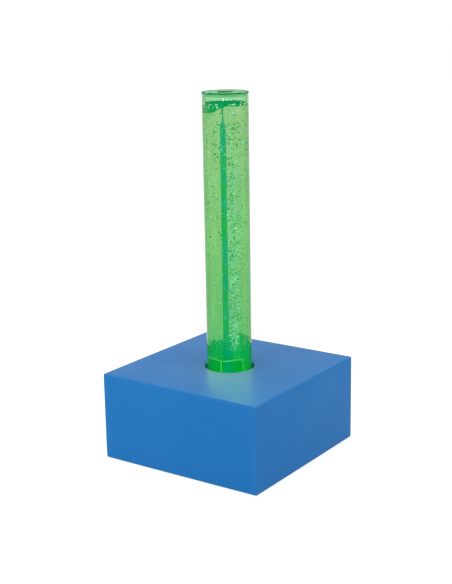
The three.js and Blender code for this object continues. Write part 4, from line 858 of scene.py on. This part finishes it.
def dress(piece: Piece, *finishes: Finish, which: Callable | None = None, sharp: float = 0.0) -> Piece:
    """Smooths a piece's curved faces and gives it its finishes, one to a material slot.

    Args:
        piece: The piece.
        *finishes: Its finishes.
        which: Gives the number of a face's finish, where there are more than one.
        sharp: Edges sharper than this many degrees stay sharp, and 0 leaves the shading alone.

    Returns:
        The same piece.
    """
    if sharp:
        choose(piece)
        bpy.ops.object.shade_smooth_by_angle(angle=math.radians(sharp))
    piece.data.materials.clear()
    for finish in finishes:
        piece.data.materials.append(finish.material())
    for face in piece.data.polygons if which else ():
        face.material_index = int(which(face))
    return piece


def seat(piece: Piece, body: str, *nodes: str, slot: str | None = None) -> None:
    """Lets a finished piece ride on a body and says in the log how large it is.

    Args:
        piece: The finished piece.
        body: The body that it moves with.
        *nodes: The nodes that it stands for.
        slot: Not used.
    """
    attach(piece, body)
    if nodes:
        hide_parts(*nodes)
    size = tuple(round(length * 1000) for length in piece.dimensions)
    LOG.info("%s: %d faces, %d by %d by %d mm", piece.name, len(piece.data.polygons), *size)


@dataclass
class PaddedPlinth:
    """Square plinth of plywood and foam under one blue vinyl cover, with a well for the tube."""

    half: float = 0.3010
    foot: float = 0.0003
    hem: float = 0.0043
    top: float = 0.2906
    corner: float = 0.0055
    edge: float = 0.0048
    crown: float = 0.0004
    bow: float = 0.0006
    draw_in: float = 0.0005
    proud: float = 0.0026
    hem_rise: float = 0.050
    well: float = 0.082
    well_edge: float = 0.004
    shelf: float = 0.2432
    skin: float = 0.0012
    under_skin: float = 0.0015
    hem_reach: float = 0.2735
    swell: float = 0.0022
    pressure: float = 4.0
    cloth_steps: int = 12
    side_points: int = 36
    corner_points: int = 8
    held_margin: float = 0.004
    held_brim: float = 0.003
    held_foot: float = 0.012
    channel_middle: Triple = (0.0, 0.29, 0.0)
    channel_size: Triple = (0.050, 0.06, 0.060)
    pads: tuple[str, ...] = ("top_pad", "side_front", "side_back", "side_left", "side_right")

    def square_ring(self, half: float, corner: float, height: float) -> Ring:
        """Gives a ring of points round the plinth, bowed a little along each side.

        Args:
            half: Half the ring's width at the middle of a side.
            corner: The radius of its corners.
            height: Its height.

        Returns:
            The points, anticlockwise from the first corner.
        """
        flat = half - self.bow - corner
        side = []
        for share in shares(self.corner_points, 0):
            angle = QUARTER * share
            side.append(Vector((flat + corner * math.cos(angle), flat + corner * math.sin(angle), height)))
        for share in shares(self.side_points)[:-1]:
            y = half - self.bow + self.bow * math.sin(math.pi * share)
            side.append(Vector((flat * (1 - 2 * share), y, height)))
        return [Matrix.Rotation(quarter * QUARTER, 3, "Z") @ point for quarter in range(4) for point in side]

    def round_ring(self, radius: float, height: float) -> Ring:
        """Gives a round ring with a point for each one of the square ring.

        Args:
            radius: The ring's radius.
            height: Its height.

        Returns:
            The points, anticlockwise from the same corner.
        """
        count = 4 * (self.corner_points + self.side_points)
        start = QUARTER / 2 - self.corner_points * math.pi / count
        angles = [start + 4 * QUARTER * i / count for i in range(count)]
        return [Vector((radius * math.cos(a), radius * math.sin(a), height)) for a in angles]

    def rings(self, depth: float, foot: float, well_foot: float) -> list[Ring]:
        """Gives rings of the plinth's form from the hem up the sides, over the top and down the well.

        Args:
            depth: How far under the cover's face the form lies.
            foot: The height of its lowest ring.
            well_foot: The height at which it ends in the well.

        Returns:
            The rings, each with as many points.
        """
        half, edge, corner, top = self.half - depth, self.edge - depth, self.corner - depth, self.top - depth
        well, well_edge = self.well + depth, self.well_edge - depth
        hem_top = self.foot + self.hem_rise
        shoulder = self.top - self.crown - self.edge
        rings = []
        for share in shares(8, 0):
            raised = share ** 1.2
            inset = self.draw_in * (1 - math.sin(QUARTER * raised))
            rings.append(self.square_ring(half - inset, corner, foot + (hem_top - foot) * raised))
        for share in shares(13):
            rings.append(self.square_ring(half, corner, hem_top + (shoulder - hem_top) * share))
        for share in shares(8):
            inset = edge * (1 - math.cos(QUARTER * share))
            height = shoulder + edge * math.sin(QUARTER * share)
            rings.append(self.square_ring(half - inset, corner - inset * 0.6, height))
        rim, mouth = rings[-1], self.round_ring(well + well_edge, top)
        for share in shares(15):
            rings.append([a.lerp(b, share) for a, b in zip(rim, mouth)])
            for point in rings[-1]:
                point.z = top - self.crown * (1 - math.sin(QUARTER * share))
        for share in shares(6):
            radius = well + well_edge * (1 - math.sin(QUARTER * share))
            rings.append(self.round_ring(radius, top - well_edge * (1 - math.cos(QUARTER * share))))
        lip = top - well_edge
        for share in shares(4):
            rings.append(self.round_ring(well, lip + (well_foot - lip) * share))
        for point in (point for ring in rings for point in ring):
            near = (1 - point.x / self.half) * (1 - point.y / self.half) / 4
            point.z += self.proud * near * (point.z / self.top) ** 2
        return rings

    def lofted(self, name: str, rings: list[Ring], closed: bool) -> Piece:
        """Extrudes a form ring by ring from one circle of points.

        Args:
            name: The piece's name.
            rings: The rings, each with as many points.
            closed: True to bridge the last ring to the first.

        Returns:
            The form, a sheet unless it is closed.
        """
        bpy.ops.mesh.primitive_circle_add(vertices=len(rings[0]), radius=self.well)
        piece = added(name)
        with editing(piece) as mesh:
            for vertex, point in zip(mesh.verts, rings[0]):
                vertex.co = point
            for ring in rings[1:]:
                before = len(mesh.verts)
                bpy.ops.mesh.extrude_edges_move()
                mesh.verts.ensure_lookup_table()
                for vertex, point in zip(mesh.verts[before:], ring):
                    vertex.co = point
            if closed:
                pick(mesh, "EDGE", lambda edge: edge.is_boundary)
                bpy.ops.mesh.bridge_edge_loops()
            face_outwards()
        return piece

    def puff(self, piece: Piece) -> None:
        """Lets the stuffing press the cover's faces outwards, held along its edges, hem and well.

        Args:
            piece: The cover's sheet.
        """
        held = piece.vertex_groups.new(name="held")
        for vertex in piece.data.vertices:
            place = vertex.co
            inner, outer = sorted((abs(place.x), abs(place.y)))
            upright = inner > self.half - self.corner - self.held_margin
            high = place.z > self.top - self.edge - self.held_margin
            brim = high and outer > self.half - self.edge - self.held_brim
            mouth = place.xy.length < self.well + self.well_edge + self.held_margin
            if upright or brim or mouth or place.z < self.held_foot:
                held.add([vertex.index], 1.0, "REPLACE")
        choose(piece)
        cloth = piece.modifiers.new("Cloth", "CLOTH")
        cloth.settings.vertex_group_mass = held.name
        cloth.settings.use_pressure = True
        cloth.settings.uniform_pressure_force = self.pressure
        cloth.settings.effector_weights.gravity = 0.0
        cloth.point_cache.frame_start, cloth.point_cache.frame_end = 1, self.cloth_steps
        for step in range(self.cloth_steps):
            bpy.context.scene.frame_set(step + 1)
        shaped = piece.evaluated_get(bpy.context.evaluated_depsgraph_get())
        moves = [b.co - a.co for a, b in zip(piece.data.vertices, shaped.data.vertices)]
        furthest = max(move.length for move in moves)
        piece.modifiers.remove(cloth)
        for vertex, move in zip(piece.data.vertices, moves):
            if move.dot(vertex.normal) > 0.0:
                vertex.co += move * min(1.0, self.swell / furthest)
        piece.vertex_groups.clear()
        bpy.context.scene.frame_set(1)
        LOG.info("cover swelled by %.1f mm, of %.1f that it asked for", self.swell * 1000, furthest * 1000)

    def mark_rubbed(self, piece: Piece) -> None:
        """Marks where hands and feet rub the cover, its top edges, upright corners and the well's lip, where
        the paler mark is also a painted highlight.

        Args:
            piece: The cover.
        """
        rubbed = piece.data.attributes.new("rubbed", "FLOAT", "POINT")
        for vertex in piece.data.vertices:
            x, y, z = (abs(length) for length in vertex.co)
            rim = closeness(z - self.top + 0.005, 0.010)
            side = closeness(max(x, y) - 0.294, 0.012)
            upright = closeness(math.hypot(0.297 - x, 0.297 - y), 0.030)
            # The well's lip is marked partly as wear and partly as a painted highlight
            lip = closeness(math.hypot(x, y) - self.well - self.well_edge, 0.012)
            rubbed.data[vertex.index].value = min(1.0, rim * side + 0.6 * upright + 0.5 * lip)

    def channel(self) -> Piece:
        """Gives the block that cuts the cable channel at the back."""
        return block("channel_cutter", Vector(self.channel_middle), Vector(self.channel_size))

    def cover(self) -> None:
        """Makes the vinyl cover as a thin closed skin with its cable opening."""
        tucked = (
            (self.hem_reach, self.hem), (0.282, self.hem),
            (0.290, self.hem - 0.0008), (0.2958, self.foot + 0.0012),
        )
        hem = [self.square_ring(reach, self.corner * 0.6, height) for reach, height in tucked]
        piece = self.lofted("padded_cover", hem + self.rings(0.0, self.foot, self.shelf), closed=False)
        self.puff(piece)
        modify(piece, "SUBSURF", levels=1, render_levels=1)
        modify(piece, "SOLIDIFY", thickness=self.skin, offset=-1.0, use_even_offset=True)
        carve(piece, self.channel())
        self.mark_rubbed(piece)
        dress(piece, Finishes.BLUE_VINYL, sharp=50.0)
        seat(piece, "plinth", "vinyl_cover", slot="blue_vinyl")

    def foam_pad(self, pad: str) -> None:
        """Cuts one foam piece out of the plinth's full form, just under the cover.

        Args:
            pad: Where it lies, as its node's name says.
        """
        low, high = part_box("foam_" + pad)
        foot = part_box("foam_side_front")[0].z
        piece = self.lofted("pad_" + pad, self.rings(self.under_skin, foot, foot), closed=True)
        carve(piece, block("pad_cutter", (low + high) / 2, high - low), "INTERSECT")
        if pad == "side_back":
            carve(piece, self.channel())
        dress(piece, Finishes.FOAM, sharp=40.0)
        seat(piece, "plinth", "foam_" + pad, slot="foam")

    def build(self) -> None:
        """Makes the cover and its padding."""
        self.cover()
        for pad in self.pads:
            self.foam_pad(pad)


@dataclass
class WaterColumn:
    """Clear tube of lit water with its lid, air box, standpipe, bubbles and froth."""

    outer: float = 0.075
    bore: float = 0.070
    foot: float = 0.2061
    floor: float = 0.2091
    level: float = 1.1635
    rim: float = 1.1947
    lid_under: float = 1.195
    lid_top: float = 1.200
    spigot: float = 0.0695
    spigot_bore: float = 0.0655
    spigot_foot: float = 1.187
    vent: float = 0.024
    centre: Triple = (-0.0057, -0.004, 0.0)
    box_side: float = 0.072
    box_wall: float = 0.003
    box_top: float = 0.322
    box_turn: float = -33.0
    socket: float = 0.0125
    socket_centre: Triple = (-0.0025, -0.0015, 0.0)
    socket_top: float = 0.377
    pipe_play: float = 0.0003
    pipe_bore_middle: float = 0.0424
    pipe_bore_depth: float = 0.08
    pipe: float = 0.0075
    pipe_top: float = 1.104
    tip: float = 0.002
    tip_top: float = 1.178
    overlap: float = 0.0003
    play: float = 0.0004
    smooth: float = 12.0
    plume_foot: float = 0.35
    plume_bearing: float = 34.8
    plume_near: float = 0.007
    plume_core: float = 0.014
    plume_far: float = 0.036
    plume_spread: float = 0.024
    plume_depth: float = 0.018
    bubbles: int = 2600
    surface_bubbles: int = 110
    froth_gap: float = 0.0024
    froth_rings: int = 15
    froth_step: float = 0.0043
    lean: Triple = (-0.82, -0.57, 0.0)
    loose_reach: float = 0.066
    seed: int = 11

    def tube(self) -> Piece:
        """Makes the tube: a long cylinder whose ends are inset and bridged into a bore.

        Returns:
            The tube.
        """
        middle = Vector((0, 0, (self.foot + self.rim) / 2))
        piece = drum("clear_tube", 128, self.outer, self.rim - self.foot, middle)
        with editing(piece) as mesh:
            pick(mesh, "FACE", lambda face: abs(face.normal.z) > 0.9)
            bpy.ops.mesh.inset(thickness=self.outer - self.bore, use_even_offset=True)
            bpy.ops.mesh.bridge_edge_loops()
            face_outwards()
        ease(piece, 0.0006, 2)

        def inner(face: bpy.types.MeshPolygon) -> bool:
            """Says if a face is the bore's, or lies on an end."""
            return face.center.xy.length < self.outer - 0.001

        return dress(piece, Finishes.TUBE, Finishes.BORE, which=inner, sharp=self.smooth)

    def water(self) -> Piece:
        """Makes the water with the curl that it has against the wall and low ripples on top.

        Returns:
            The water.
        """
        wide, level = self.bore + self.overlap, self.level
        top = [(wide, level + 0.0016), (wide - 0.0012, level + 0.0007), (wide - 0.003, level)]
        crests = [(wide - 0.003 - 0.0066 * i, level + 0.0004 * math.sin(2.1 * i)) for i in range(1, 10)]
        outline = [(0.0, self.floor), (wide, self.floor), *top, *crests, (0.0, level)]
        return dress(turned("lit_water", outline, 128), Finishes.LIT_WATER, sharp=self.smooth)

    def lid(self) -> Piece:
        """Makes the lid: a disc with a vent hole and a ring below that locates it.

        Returns:
            The lid.
        """
        under, top, wide, vent = self.lid_under, self.lid_top, self.outer, self.vent
        outline = [
            (vent, under), (self.spigot_bore, under), (self.spigot_bore, self.spigot_foot),
            (self.spigot, self.spigot_foot), (self.spigot, under), (wide - 0.0005, under),
            (wide, under + 0.0005), (wide, top - 0.001), (wide - 0.001, top), (vent + 0.0006, top),
            (vent, top - 0.0006),
        ]

        def sawn(face: bpy.types.MeshPolygon) -> bool:
            """Says if a face is the lid's sawn edge or the vent's wall."""
            across = face.center.xy.length
            return (across > wide - 0.0008 or across < vent + 0.0002) and abs(face.normal.z) < 0.3

        piece = turned("vented_lid", outline, 128)
        return dress(piece, Finishes.LID, Finishes.CUT, which=sawn, sharp=self.smooth)

    def air_box(self) -> Piece:
        """Makes the clear square box at the foot, whose cut edges catch the light.

        Returns:
            The box.
        """
        height = self.box_top - self.floor
        middle = Vector(self.centre) + Vector((0, 0, (self.box_top + self.floor) / 2))
        piece = block("clear_air_box", middle, Vector((self.box_side, self.box_side, height)), self.box_turn)
        with editing(piece) as mesh:
            pick(mesh, "FACE", lambda face: face.normal.z < -0.9)
            bpy.ops.mesh.inset(thickness=self.box_wall, use_even_offset=True)
            inward = {"value": (0, 0, height - self.box_wall)}
            bpy.ops.mesh.extrude_region_move(TRANSFORM_OT_translate=inward)
            face_outwards()
        ease(piece, 0.0011, 1)
        square = Matrix.Rotation(-math.radians(self.box_turn), 3, "Z")
        near_side = -self.box_side * 0.48

        def lit(face: bpy.types.MeshPolygon) -> int:
            """Tells the lit edges from the plain faces.

            Args:
                face: A face of the box.

            Returns:
                2 for the near upright, 1 for the other lit edges and else 0.
            """
            lean, spot = square @ face.normal, square @ (face.center - Vector(self.centre))
            upright = abs(lean.z) < 0.3
            behind = upright and spot.x < 0.0 < spot.y
            near = upright and spot.x < near_side and spot.y < near_side
            cut = max(abs(part) for part in lean) < 0.95 and face.center.z > self.floor + 0.002
            return int(cut and not behind) * (1 + int(near))

        return dress(piece, Finishes.BOX, Finishes.LIT_EDGE, Finishes.NEAR_EDGE, which=lit, sharp=10.0)

    def column(self, name: str, foot: float, top: float) -> Piece:
        """Makes one of the two round teal blocks that carry the pipe, bored for it above the box.

        Args:
            name: The piece's name.
            foot: The height of its lower end.
            top: The height of its upper end.

        Returns:
            The block.
        """
        wide, eased = self.socket, self.socket - 0.0008
        outline = [(0.0, foot), (eased, foot), (wide, foot + 0.0008)]
        outline += [(wide, top - 0.0008), (eased, top), (0.0, top)]
        piece = turned(name, outline, 64, self.socket_centre)
        if top > self.box_top:
            middle = Vector(self.centre) + Vector((0, 0, self.box_top + self.pipe_bore_middle))
            carve(piece, drum("pipe_cutter", 40, self.pipe + self.pipe_play, self.pipe_bore_depth, middle))
        return dress(piece, Finishes.SOCKET, sharp=self.smooth)

    def standpipe(self) -> Piece:
        """Makes the slim pipe from the air box up to its thin vent tip above the water.

        Returns:
            The pipe.
        """
        foot, wide, shoulder = self.box_top + 0.0027, self.pipe, self.pipe_top
        tip, end = self.tip, self.tip_top
        outline = [
            (0.0, foot), (wide - 0.0006, foot), (wide, foot + 0.0006), (wide, shoulder - 0.012),
            (wide - 0.001, shoulder - 0.006), (tip + 0.001, shoulder - 0.001), (tip, shoulder + 0.002),
            (tip, end - 0.008), (tip, end - 0.0004), (tip - 0.0004, end),
            (0.0011, end), (0.001, end - 0.004), (0.0, end - 0.004),
        ]
        piece = turned("green_standpipe", outline, 40, self.centre)

        def lit(face: bpy.types.MeshPolygon) -> bool:
            """Says if a face lies on the tip's end, which is painted with a glint as a painted highlight."""
            return face.center.z > end - 0.007

        return dress(piece, Finishes.GREEN_PIPE, Finishes.WHITE, which=lit, sharp=self.smooth)

    def scatter(self, name: str, places: Bubbles, finish: Finish) -> None:
        """Copies one small bubble to many places, joins the copies and seats them.

        Args:
            name: The name of the joined piece.
            places: Each bubble's centre and radius.
            finish: What the bubbles look like.
        """
        bpy.ops.object.select_all(action="DESELECT")
        bpy.ops.mesh.primitive_uv_sphere_add(segments=8, ring_count=5, radius=1.0, location=(0, 0, 0))
        model = added(name)
        copies = []
        for centre, radius in places:
            copy = model.copy()
            copy.data = model.data.copy()
            flattened = Matrix.Diagonal((radius, radius, radius * 0.8, 1.0))
            copy.data.transform(Matrix.Translation(centre) @ flattened)
            bpy.context.scene.collection.objects.link(copy)
            copies.append(copy)
        bpy.data.objects.remove(model)
        choose(*copies)
        bpy.ops.object.join()
        bpy.ops.object.shade_smooth()
        seat(dress(added(name), finish), "base_unit")

    def free(self, centre: Vector, radius: float) -> bool:
        """Says if a bubble clears the wall, the pipe and the air box.

        Args:
            centre: The bubble's centre.
            radius: Its radius.

        Returns:
            True if it touches none of them.
        """
        off = centre - Vector(self.centre)
        near_pipe = self.socket if centre.z < self.socket_top else self.pipe
        if centre.xy.length > self.bore - radius - 0.0012 or off.xy.length < near_pipe + radius + 0.0006:
            return False
        square = Matrix.Rotation(-math.radians(self.box_turn), 3, "Z") @ off
        inside = max(abs(square.x), abs(square.y)) < self.box_side / 2 + radius + 0.001
        return not (inside and centre.z < self.box_top + radius + 0.001)

    def rising(self) -> dict[Finish, Bubbles]:
        """Places the rising bubbles: a dense plume beside the pipe and loose ones all round.

        Returns:
            The bubbles' centres and radii, by finish.
        """
        chance = random.Random(self.seed)
        bearing = math.radians(self.plume_bearing)
        beside = Vector((math.cos(bearing), math.sin(bearing), 0))
        behind = Vector((-beside.y, beside.x, 0))
        sorts: dict[Finish, Bubbles] = {Finishes.MINT: [], Finishes.TEAL: [], Finishes.WHITE: []}
        while sum(len(sort) for sort in sorts.values()) < self.bubbles:
            height = chance.uniform(self.plume_foot, self.level - 0.012)
            share = (height - self.plume_foot) / (self.level - self.plume_foot)
            if chance.random() < 0.8 - 0.35 * share:
                if chance.random() < 0.8 * share ** 2:
                    continue
                far = self.plume_far + self.plume_spread * share
                offset = chance.triangular(self.plume_near, far, self.plume_core)
                centre = Vector(self.centre) + beside * offset + behind * chance.gauss(0, self.plume_depth)
            else:
                if chance.random() > 0.35 + 0.65 * share:
                    continue
                centre = self.loose(chance)
            centre.z = height
            radius = 0.0011 + 0.0015 * chance.random() ** 2 + 0.0004 * share
            if self.free(centre, radius):
                draw = chance.random()
                # Painted light: most bubbles take the lit copy, many the shaded copy and a few the glint
                sort = Finishes.MINT if draw < 0.64 else Finishes.TEAL if draw < 0.97 else Finishes.WHITE
                sorts[sort].append((centre, radius))
        return sorts

    def loose(self, chance: random.Random, reach: float | None = None) -> Vector:
        """Draws a place in the tube's round, at any reach from its axis or at the one given."""
        angle, drawn = chance.uniform(0, 4 * QUARTER), self.loose_reach * math.sqrt(chance.random())
        return Vector((math.cos(angle), math.sin(angle), 0)) * (reach or drawn)

    def froth(self) -> Piece:
        """Makes the churned layer at the surface, deepest on the side away from the plume.

        Returns:
            The froth.
        """
        wide = self.bore - self.froth_gap
        piece = drum("surface_froth", 96, wide, 0.004, Vector((0, 0, self.level - 0.0012)))
        with editing(piece) as mesh:
            pick(mesh, "FACE", lambda face: abs(face.normal.z) > 0.9)
            for _ in range(self.froth_rings):
                bpy.ops.mesh.inset(thickness=self.froth_step, use_even_offset=True)
        lean = Vector(self.lean)
        chance = random.Random(self.seed + 1)
        waves = [(chance.uniform(60, 260), chance.uniform(0, 6.3), chance.uniform(0, 6.3)) for _ in range(9)]
        for place in (vertex.co for vertex in piece.data.vertices):
            side = max(0.0, place.dot(lean) / wide)
            x, y = place.xy
            lump = sum(math.sin(f * (x * math.cos(a) + y * math.sin(a)) + p) for f, a, p in waves) / 9
            if place.z < self.level - 0.001:
                place.z -= 0.0015 + 0.022 * min(1.0, side * 1.5) + 0.007 * lump * (0.3 + side)
            else:
                place.z += 0.0014 + 0.0022 * lump

        def upper(face: bpy.types.MeshPolygon) -> bool:
            """Says if a face looks up."""
            return face.normal.z > 0.3

        # Painted light: faces that look up take the froth's lighter, lit copy
        return dress(piece, Finishes.FROTH, Finishes.FROTH_TOP, which=upper, sharp=60.0)

    def floating(self) -> Bubbles:
        """Places larger bubbles that sit in the froth, most on its deep side.

        Returns:
            The bubbles' centres and radii.
        """
        chance = random.Random(self.seed + 2)
        places: Bubbles = []
        while len(places) < self.surface_bubbles:
            radius = chance.uniform(0.0011, 0.0028)
            centre = self.loose(chance, self.bore - radius - 0.0002 if len(places) % 3 else None)
            side = max(0.0, (self.lean[0] * centre.x + self.lean[1] * centre.y) / self.bore)
            if chance.random() < 0.35 + side:
                centre.z = self.level + chance.uniform(-0.004 - 0.020 * side, 0.0025)
                places.append((centre, radius))
        return places

    def build(self) -> None:
        """Makes the tube and all that stands or floats in it."""
        seat(self.tube(), "base_unit", "bubble_tube", slot="clear_acrylic")
        seat(self.water(), "base_unit", "water_column", slot="lit_water")
        seat(self.air_box(), "base_unit", "air_box", slot="clear_acrylic")
        inside_top = self.box_top - self.box_wall
        seat(self.column("pipe_socket", self.box_top + self.play, self.socket_top), "base_unit")
        seat(self.column("air_stone", self.floor + self.play, inside_top - self.play), "base_unit")
        seat(self.standpipe(), "base_unit", "standpipe", slot="green_pipe")
        for finish, places in self.rising().items():
            self.scatter(finish.name.replace("bubble", "bubbles"), places, finish)
        seat(self.froth(), "base_unit")
        # The froth's bubbles are painted glints
        self.scatter("froth_bubbles", self.floating(), Finishes.WHITE)
        seat(self.lid(), "lid", "lid_disc", slot="clear_acrylic")


class PlainNodes:
    """The nodes that keep their own shape: the plinth's wooden carcass, its skids and the base unit."""

    def build(self) -> None:
        """Dresses each one that still has its plain look in the finish of its material slot."""
        slots = {entry["node"]: entry["material_slot"] for entry in frame["record"]["subparts"]}
        for name, piece in frame["nodes"].items():
            if not piece.hide_render and name in slots:
                dress(piece, getattr(Finishes, slots[name].upper()))


@dataclass
class Studio:
    """Pale floor, soft light and the camera at the photograph's angle."""

    position: Triple = (2.1987, -3.1725, 1.5372)
    target: Triple = (-0.00655, -0.00456, 0.54396)
    roll: float = -0.9934
    lens: float = 74.43
    ambient: float = 0.84
    floor_glow: float = 0.7
    floor_side: float = 30.0
    floor_drop: float = 0.0006
    lamp_aim: Triple = (0, 0, 0.4)
    lamps: tuple[tuple[str, Triple, float, float], ...] = (
        ("overhead", (0.3, -0.4, 3.6), 2.6, 9.5),
        ("left_front", (-1.3, -3.6, 1.3), 2.0, 44.0),
        ("right_front", (3.6, -0.5, 1.2), 2.0, 22.0),
    )

    def camera(self) -> None:
        """Sets the camera up with its slight roll."""
        data = bpy.data.cameras.new("photo_camera")
        data.lens, data.sensor_width = self.lens, 36.0
        data.clip_start, data.clip_end = 0.05, 60.0
        camera = bpy.data.objects.new("photo_camera", data)
        bpy.context.scene.collection.objects.link(camera)
        back = (Vector(self.position) - Vector(self.target)).normalized()
        right = Vector((0, 0, 1)).cross(back).normalized()
        turn = math.radians(self.roll)
        rolled = right * math.cos(turn) + back.cross(right) * math.sin(turn)
        axes = Matrix((rolled, back.cross(rolled), back)).transposed()
        camera.matrix_world = Matrix.Translation(self.position) @ axes.to_4x4()
        bpy.context.scene.camera = camera

    def seen(self, nodes: Nodes) -> Socket:
        """Gives 1 for rays from the camera, a mirror or a clear piece, and else 0.

        Args:
            nodes: The nodes that the answer is added to.

        Returns:
            The answer.
        """
        path = nodes.add("ShaderNodeLightPath").outputs
        clear = nodes.value("MAXIMUM", path["Is Camera Ray"], path["Is Transmission Ray"])
        return nodes.value("MAXIMUM", path["Is Glossy Ray"], clear)

    def backdrop(self) -> None:
        """Makes the white surroundings, which light the object at a plain level."""
        world = bpy.data.worlds.new("studio")
        bpy.context.scene.world = world
        world.use_nodes = True
        nodes = Nodes(world.node_tree)
        strength = nodes.span(self.seen(nodes), 0.0, 1.0, self.ambient, 1.0)
        nodes.join(world.node_tree.nodes["Background"], {"Color": FULL_WHITE, "Strength": strength})

    def floor(self) -> None:
        """Makes the pale floor, bright to the camera and still with the object's shadow."""
        bpy.ops.object.select_all(action="DESELECT")
        bpy.ops.mesh.primitive_plane_add(size=self.floor_side, location=(0, 0, -self.floor_drop))
        piece = added("studio_floor")
        mix = Recipe("floor_pale")
        mix.feed({
            "Base Color": dimmed(FULL_WHITE, 0.5),
            "Roughness": 0.9,
            "Specular IOR Level": 0.1,
            "Emission Color": FULL_WHITE,
            "Emission Strength": mix.times(self.seen(mix), self.floor_glow),
        })
        piece.data.materials.append(mix.material)

    def softbox(self, name: str, place: Triple, size: float, power: float) -> None:
        """Hangs a soft square light that looks at the object.

        Args:
            name: The light's name.
            place: Where it hangs.
            size: Its width.
            power: Its power in watts.
        """
        data = bpy.data.lights.new(name, "AREA")
        data.shape, data.size, data.energy = "SQUARE", size, power
        light = bpy.data.objects.new(name, data)
        light.location = place
        light.rotation_mode = "QUATERNION"
        light.rotation_quaternion = (Vector(place) - Vector(self.lamp_aim)).to_track_quat("Z", "Y")
        light.visible_glossy = light.visible_transmission = light.visible_camera = False
        bpy.context.scene.collection.objects.link(light)

    def build(self) -> None:
        """Sets up the whole studio."""
        bpy.context.scene.view_settings.view_transform = "Standard"
        self.camera()
        self.backdrop()
        self.floor()
        for lamp in self.lamps:
            self.softbox(*lamp)


def main() -> None:
    """Builds the studio and every sub-assembly in order."""
    logging.basicConfig(level=logging.INFO, format="%(name)s: %(message)s")
    for assembly in (Studio(), PaddedPlinth(), WaterColumn(), PlainNodes()):
        LOG.info("building %s", type(assembly).__name__)
        assembly.build()


if __name__ == "__main__":
    main()
